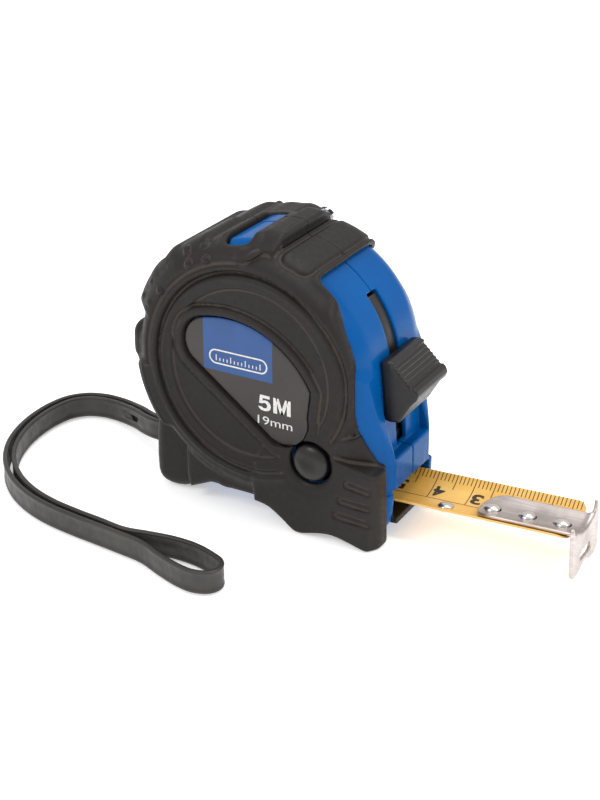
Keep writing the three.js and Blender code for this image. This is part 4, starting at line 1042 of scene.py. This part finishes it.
def rivet(name, X, s, base, rise, r, node):
    n, prof = 40, []
    for i in range(9):
        t = math.pi / 2 * i / 8
        prof.append((max(r * math.sin(t), 0.001), base + rise * math.cos(t)))
    prof += [(r * 0.97, base - 0.12), (r * 0.55, base - 0.16), (r * 0.5, -0.7), (r * 0.86, -0.72), (r * 0.86, -0.95), (r * 0.6, -1.12), (0.001, -1.15)]
    t = s / TR
    ca, sa = math.cos(t), math.sin(t)
    V, F = [], []
    for pr, pz in prof:
        for j in range(n):
            u = 2 * math.pi * j / n
            lx, ly = pr * math.cos(u), pr * math.sin(u)
            # local frame on the blade: up is towards the trough's centre
            V.append((X + lx, ly * ca - (pz - TR) * sa * 0 + (TR - TR) + (TR * sa) - pz * sa, TR - TR * ca + ly * sa + pz * ca))
    for i in range(len(prof) - 1):
        for j in range(n):
            p, q_ = i * n + j, i * n + (j + 1) % n
            F.append([p, p + n, q_ + n, q_])
    return mesh_object(name, to_part(blade_to_case(np.array(V))), np.array(F), M["rivet"], "blade", node)


for i, rx in enumerate((-22.4, -13.5, -4.9)):
    rivet("hook_rivet_head_%d" % (i + 1), rx, 0.0, 1.25, 0.95, 1.95, "hook_rivet_%d" % (i + 1))
rivet("spare_rivet_head", -33.6, -1.9, 0.16, 0.75, 1.95, "blade_rivet")


# ------------------------------------------------------------------ wrist strap
main = [[-37.6, 0.1, 6.3], [-41.5, 1.0, 6.0], [-45.5, 2.9, 5.4], [-49.5, 5.2, 4.8], [-54, 7.4, 4.0], [-59, 8.9, 3.5], [-64, 9.1, 3.3],
        [-68.5, 7.4, 3.3], [-71.8, 3.6, 3.3], [-73.2, -1.8, 3.3], [-73.4, -7.5, 3.3], [-72.7, -13.5, 3.3], [-71.1, -19.5, 3.3],
        [-68.6, -25.3, 3.3], [-65, -30.8, 3.3], [-60.3, -35.8, 3.3], [-54.5, -40, 3.3], [-48, -43.1, 3.3], [-41, -45.1, 3.3],
        [-33.5, -46.2, 3.3], [-26, -46.9, 3.3], [-18.5, -47.6, 3.3]]
loop = [[-11.5, -49.6, 3.3], [-4.5, -52.2, 3.3], [1.5, -54.0, 3.3], [6, -54.4, 3.3], [9.3, -53.0, 3.3], [10.4, -50.4, 3.3],
        [9.2, -47.7, 3.3], [5.2, -45.8, 3.3], [0, -44.5, 3.3], [-6, -44.4, 3.3], [-12.5, -45.4, 3.3]]
RUN = 1.1


def run_side(sg):
    out = []
    for i, p in enumerate(main):
        a, b = main[max(0, i - 1)], main[min(len(main) - 1, i + 1)]
        l = math.hypot(b[0] - a[0], b[1] - a[1])
        kk = 0.75 if i == 0 else 0.9 if i == 1 else 1
        out.append([p[0] - (b[1] - a[1]) / l * sg * kk, p[1] + (b[0] - a[0]) / l * sg * kk, p[2]])
    return out


pts = np.array(run_side(-RUN) + loop + run_side(RUN)[::-1], float)
pts[:, 2] -= 38.9


def catmull(p, per=14):
    """Centripetal Catmull-Rom through the points."""
    p = np.vstack([2 * p[0] - p[1], p, 2 * p[-1] - p[-2]])
    out = []
    for i in range(1, len(p) - 2):
        p0, p1, p2, p3 = p[i - 1 : i + 3]
        t0 = 0.0
        t1 = t0 + np.linalg.norm(p1 - p0) ** 0.5
        t2 = t1 + np.linalg.norm(p2 - p1) ** 0.5
        t3 = t2 + np.linalg.norm(p3 - p2) ** 0.5
        for t in np.linspace(t1, t2, per, endpoint=False):
            A1 = (t1 - t) / (t1 - t0) * p0 + (t - t0) / (t1 - t0) * p1
            A2 = (t2 - t) / (t2 - t1) * p1 + (t - t1) / (t2 - t1) * p2
            A3 = (t3 - t) / (t3 - t2) * p2 + (t - t2) / (t3 - t2) * p3
            B1 = (t2 - t) / (t2 - t0) * A1 + (t - t0) / (t2 - t0) * A2
            B2 = (t3 - t) / (t3 - t1) * A2 + (t - t1) / (t3 - t1) * A3
            out.append((t2 - t) / (t2 - t1) * B1 + (t - t1) / (t2 - t1) * B2)
    out.append(p[-2])
    return np.array(out)


line = catmull(pts, 12)
seg = np.linalg.norm(np.diff(line, axis=0), axis=1)
arc_len = np.concatenate([[0], np.cumsum(seg)])
STRAP_LEN = arc_len[-1]
m = int(STRAP_LEN / 0.55)
u = np.linspace(0, STRAP_LEN, m)
line = np.stack([np.interp(u, arc_len, line[:, i]) for i in range(3)], 1)
# moulded section: beads along both edges and a shallow groove down the middle of each face
half_w, half_t = 2.95, 0.62
sec = []
for z_, t_ in ((-2.95, 0.30), (-2.8, 0.56), (-2.45, 0.66), (-2.15, 0.60), (-1.95, 0.47), (-0.9, 0.44), (0, 0.44), (0.9, 0.44), (1.95, 0.47), (2.15, 0.60), (2.45, 0.66), (2.8, 0.56), (2.95, 0.30)):
    sec.append((t_, z_))
sec = sec + [(-t_, z_) for t_, z_ in sec[::-1]]
ns = len(sec)
V, F = [], []
tang = np.gradient(line, axis=0)
tang[:, 2] = 0
tang /= np.linalg.norm(tang, axis=1)[:, None]
for i in range(m):
    nx_, ny_ = -tang[i, 1], tang[i, 0]
    dash = 0.10 if (u[i] % 6.2) < 3.6 else 0.0
    for j, (t_, z_) in enumerate(sec):
        k_ = t_ + (dash * (1 if t_ > 0 else -1) if abs(z_) < 1.0 else 0)
        V.append((line[i, 0] + nx_ * k_, line[i, 1] + ny_ * k_, line[i, 2] + z_))
for i in range(m - 1):
    for j in range(ns):
        p, q_ = i * ns + j, i * ns + (j + 1) % ns
        F.append([p, q_, q_ + ns, p + ns])
V = np.array(V)
mid0, mid1 = line[0], line[-1]
cap0, cap1 = len(V), len(V) + 1
V = np.vstack([V, mid0[None], mid1[None]])
F = [list(f) for f in F]
for j in range(ns):
    F.append([cap0, (j + 1) % ns, j])
    F.append([cap1, (m - 1) * ns + j, (m - 1) * ns + (j + 1) % ns])
strap = mesh_object("wrist_loop", to_part(V), F, M["strap"], "case", "wrist_strap")

cut_at = np.array([-50.4, 1.0, -32.1])
ax_ = np.array([19.44, 0.0, -3.84])
ax_ = np.array([-6.1, 0.0, 1.2]) / np.linalg.norm([6.1, 0, 1.2])
thru = np.array([0.4427, -0.7827, 0.4374])
upv = np.cross(thru, ax_)
upv /= np.linalg.norm(upv)
ring = []
for s0, a0 in ((1, -90), (-1, 90)):
    for i in range(13):
        t = math.radians(a0 + 15 * i)
        ring.append((s0 * 2.3 + 0.62 * math.cos(t), 0.62 * math.sin(t)))
V, F = [], []
for e in (-7.0, 7.0):
    for c1, c2 in ring:
        V.append(cut_at + ax_ * c1 + upv * c2 + thru * e)
n = len(ring)
for j in range(n):
    F.append([j, (j + 1) % n, n + (j + 1) % n, n + j])
F += [list(range(n))[::-1], list(range(n, 2 * n))]
cutter = mesh_object("slit_cutter", to_part(np.array(V)), F, M["strap"], None, smooth=False)
cm = bpy.context
bm_mod = strap.modifiers.new("slit", "BOOLEAN")
bm_mod.operation = "DIFFERENCE"
bm_mod.solver = "EXACT"
bm_mod.object = cutter
cm.view_layer.update()
slit_mesh = bpy.data.meshes.new_from_object(strap.evaluated_get(cm.evaluated_depsgraph_get()))
if len(slit_mesh.vertices) > 1000:
    strap.modifiers.clear()
    strap.data = slit_mesh
bpy.data.objects.remove(cutter)

# strap root, with the bar that ties the two runs together
hb = 0.22
g = Grid((-38.6, -24.4), (-3.4, 3.4), (-37.4, -24.8), hb)
x, a, w = g.x, g.a, g.w
t2 = poly(x, w, chaikin([[-37.2, -35.6], [-31.8, -35.0], [-25.3, -35.0], [-25.3, -26.0], [-30, -26.6], [-37.2, -29.3]], 1))
d = slabd(t2, np.abs(a) - 2.4, 0.7)
d = np.maximum(d, -(np.sqrt((x + 27.2) ** 2 + (w + 30.2) ** 2) - 1.7))
field_piece("strap_root", d, g, M["strap"], "case", "strap_tab", 0, smooth=1)

# ------------------------------------------------------------------ CAD nodes that keep their own shape
CARRIED = {
    "axle_post": "screw", "reel_drum": "reel", "reel_flange": "reel", "blade_coil": "coil", "power_spring": "spring", "axle_washer_near": "spring",
    "axle_washer_far": "spring", "lock_shoe": "pad", "case_screw_1": "screw", "case_screw_2": "screw",
    "case_screw_3": "screw", "axle_screw": "screw", "clip_plate": "steel", "clip_screw": "screw", "belt_clip": "steel", "strap_pin": "screw",
}
for n, mat in CARRIED.items():
    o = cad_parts[n]
    o.data.materials.clear()
    o.data.materials.append(M[mat])
    b = o.modifiers.new("edge", "BEVEL")
    b.width = 0.00012
    b.segments = 2
    b.limit_method = "ANGLE"
    b.angle_limit = math.radians(40)

# ------------------------------------------------------------------ floor and light
F = [[0, 1, 2, 3]]
floor = mesh_object("floor", np.array([(-3, -3, -0.0002), (3, -3, -0.0002), (3, 3, -0.0002), (-3, 3, -0.0002)]), np.array(F), M["floor"], None, smooth=False)

world = bpy.data.worlds.new("studio")
scene.world = world
world.use_nodes = True
bg = world.node_tree.nodes["Background"]
bg.inputs["Color"].default_value = (1, 1, 1, 1)
bg.inputs["Strength"].default_value = 0.80


def area(name, where, look, size, energy, sy=None):
    l = bpy.data.lights.new(name, "AREA")
    l.energy = energy
    l.size = size
    if sy:
        l.shape = "RECTANGLE"
        l.size_y = sy
    o = bpy.data.objects.new(name, l)
    scene.collection.objects.link(o)
    o.location = where
    o.rotation_euler = (Vector(look) - Vector(where)).to_track_quat("-Z", "Y").to_euler()
    return o


area("key", (-0.35, -0.75, 0.80), (0, 0, 0.03), 0.35, 3.2)
area("front", (0.76, 0.06, 0.76), (0.02, 0, 0.05), 0.09, 2.8, 0.26)
area("top", (0.05, 0.25, 0.95), (0, 0, 0.03), 0.5, 3.0)
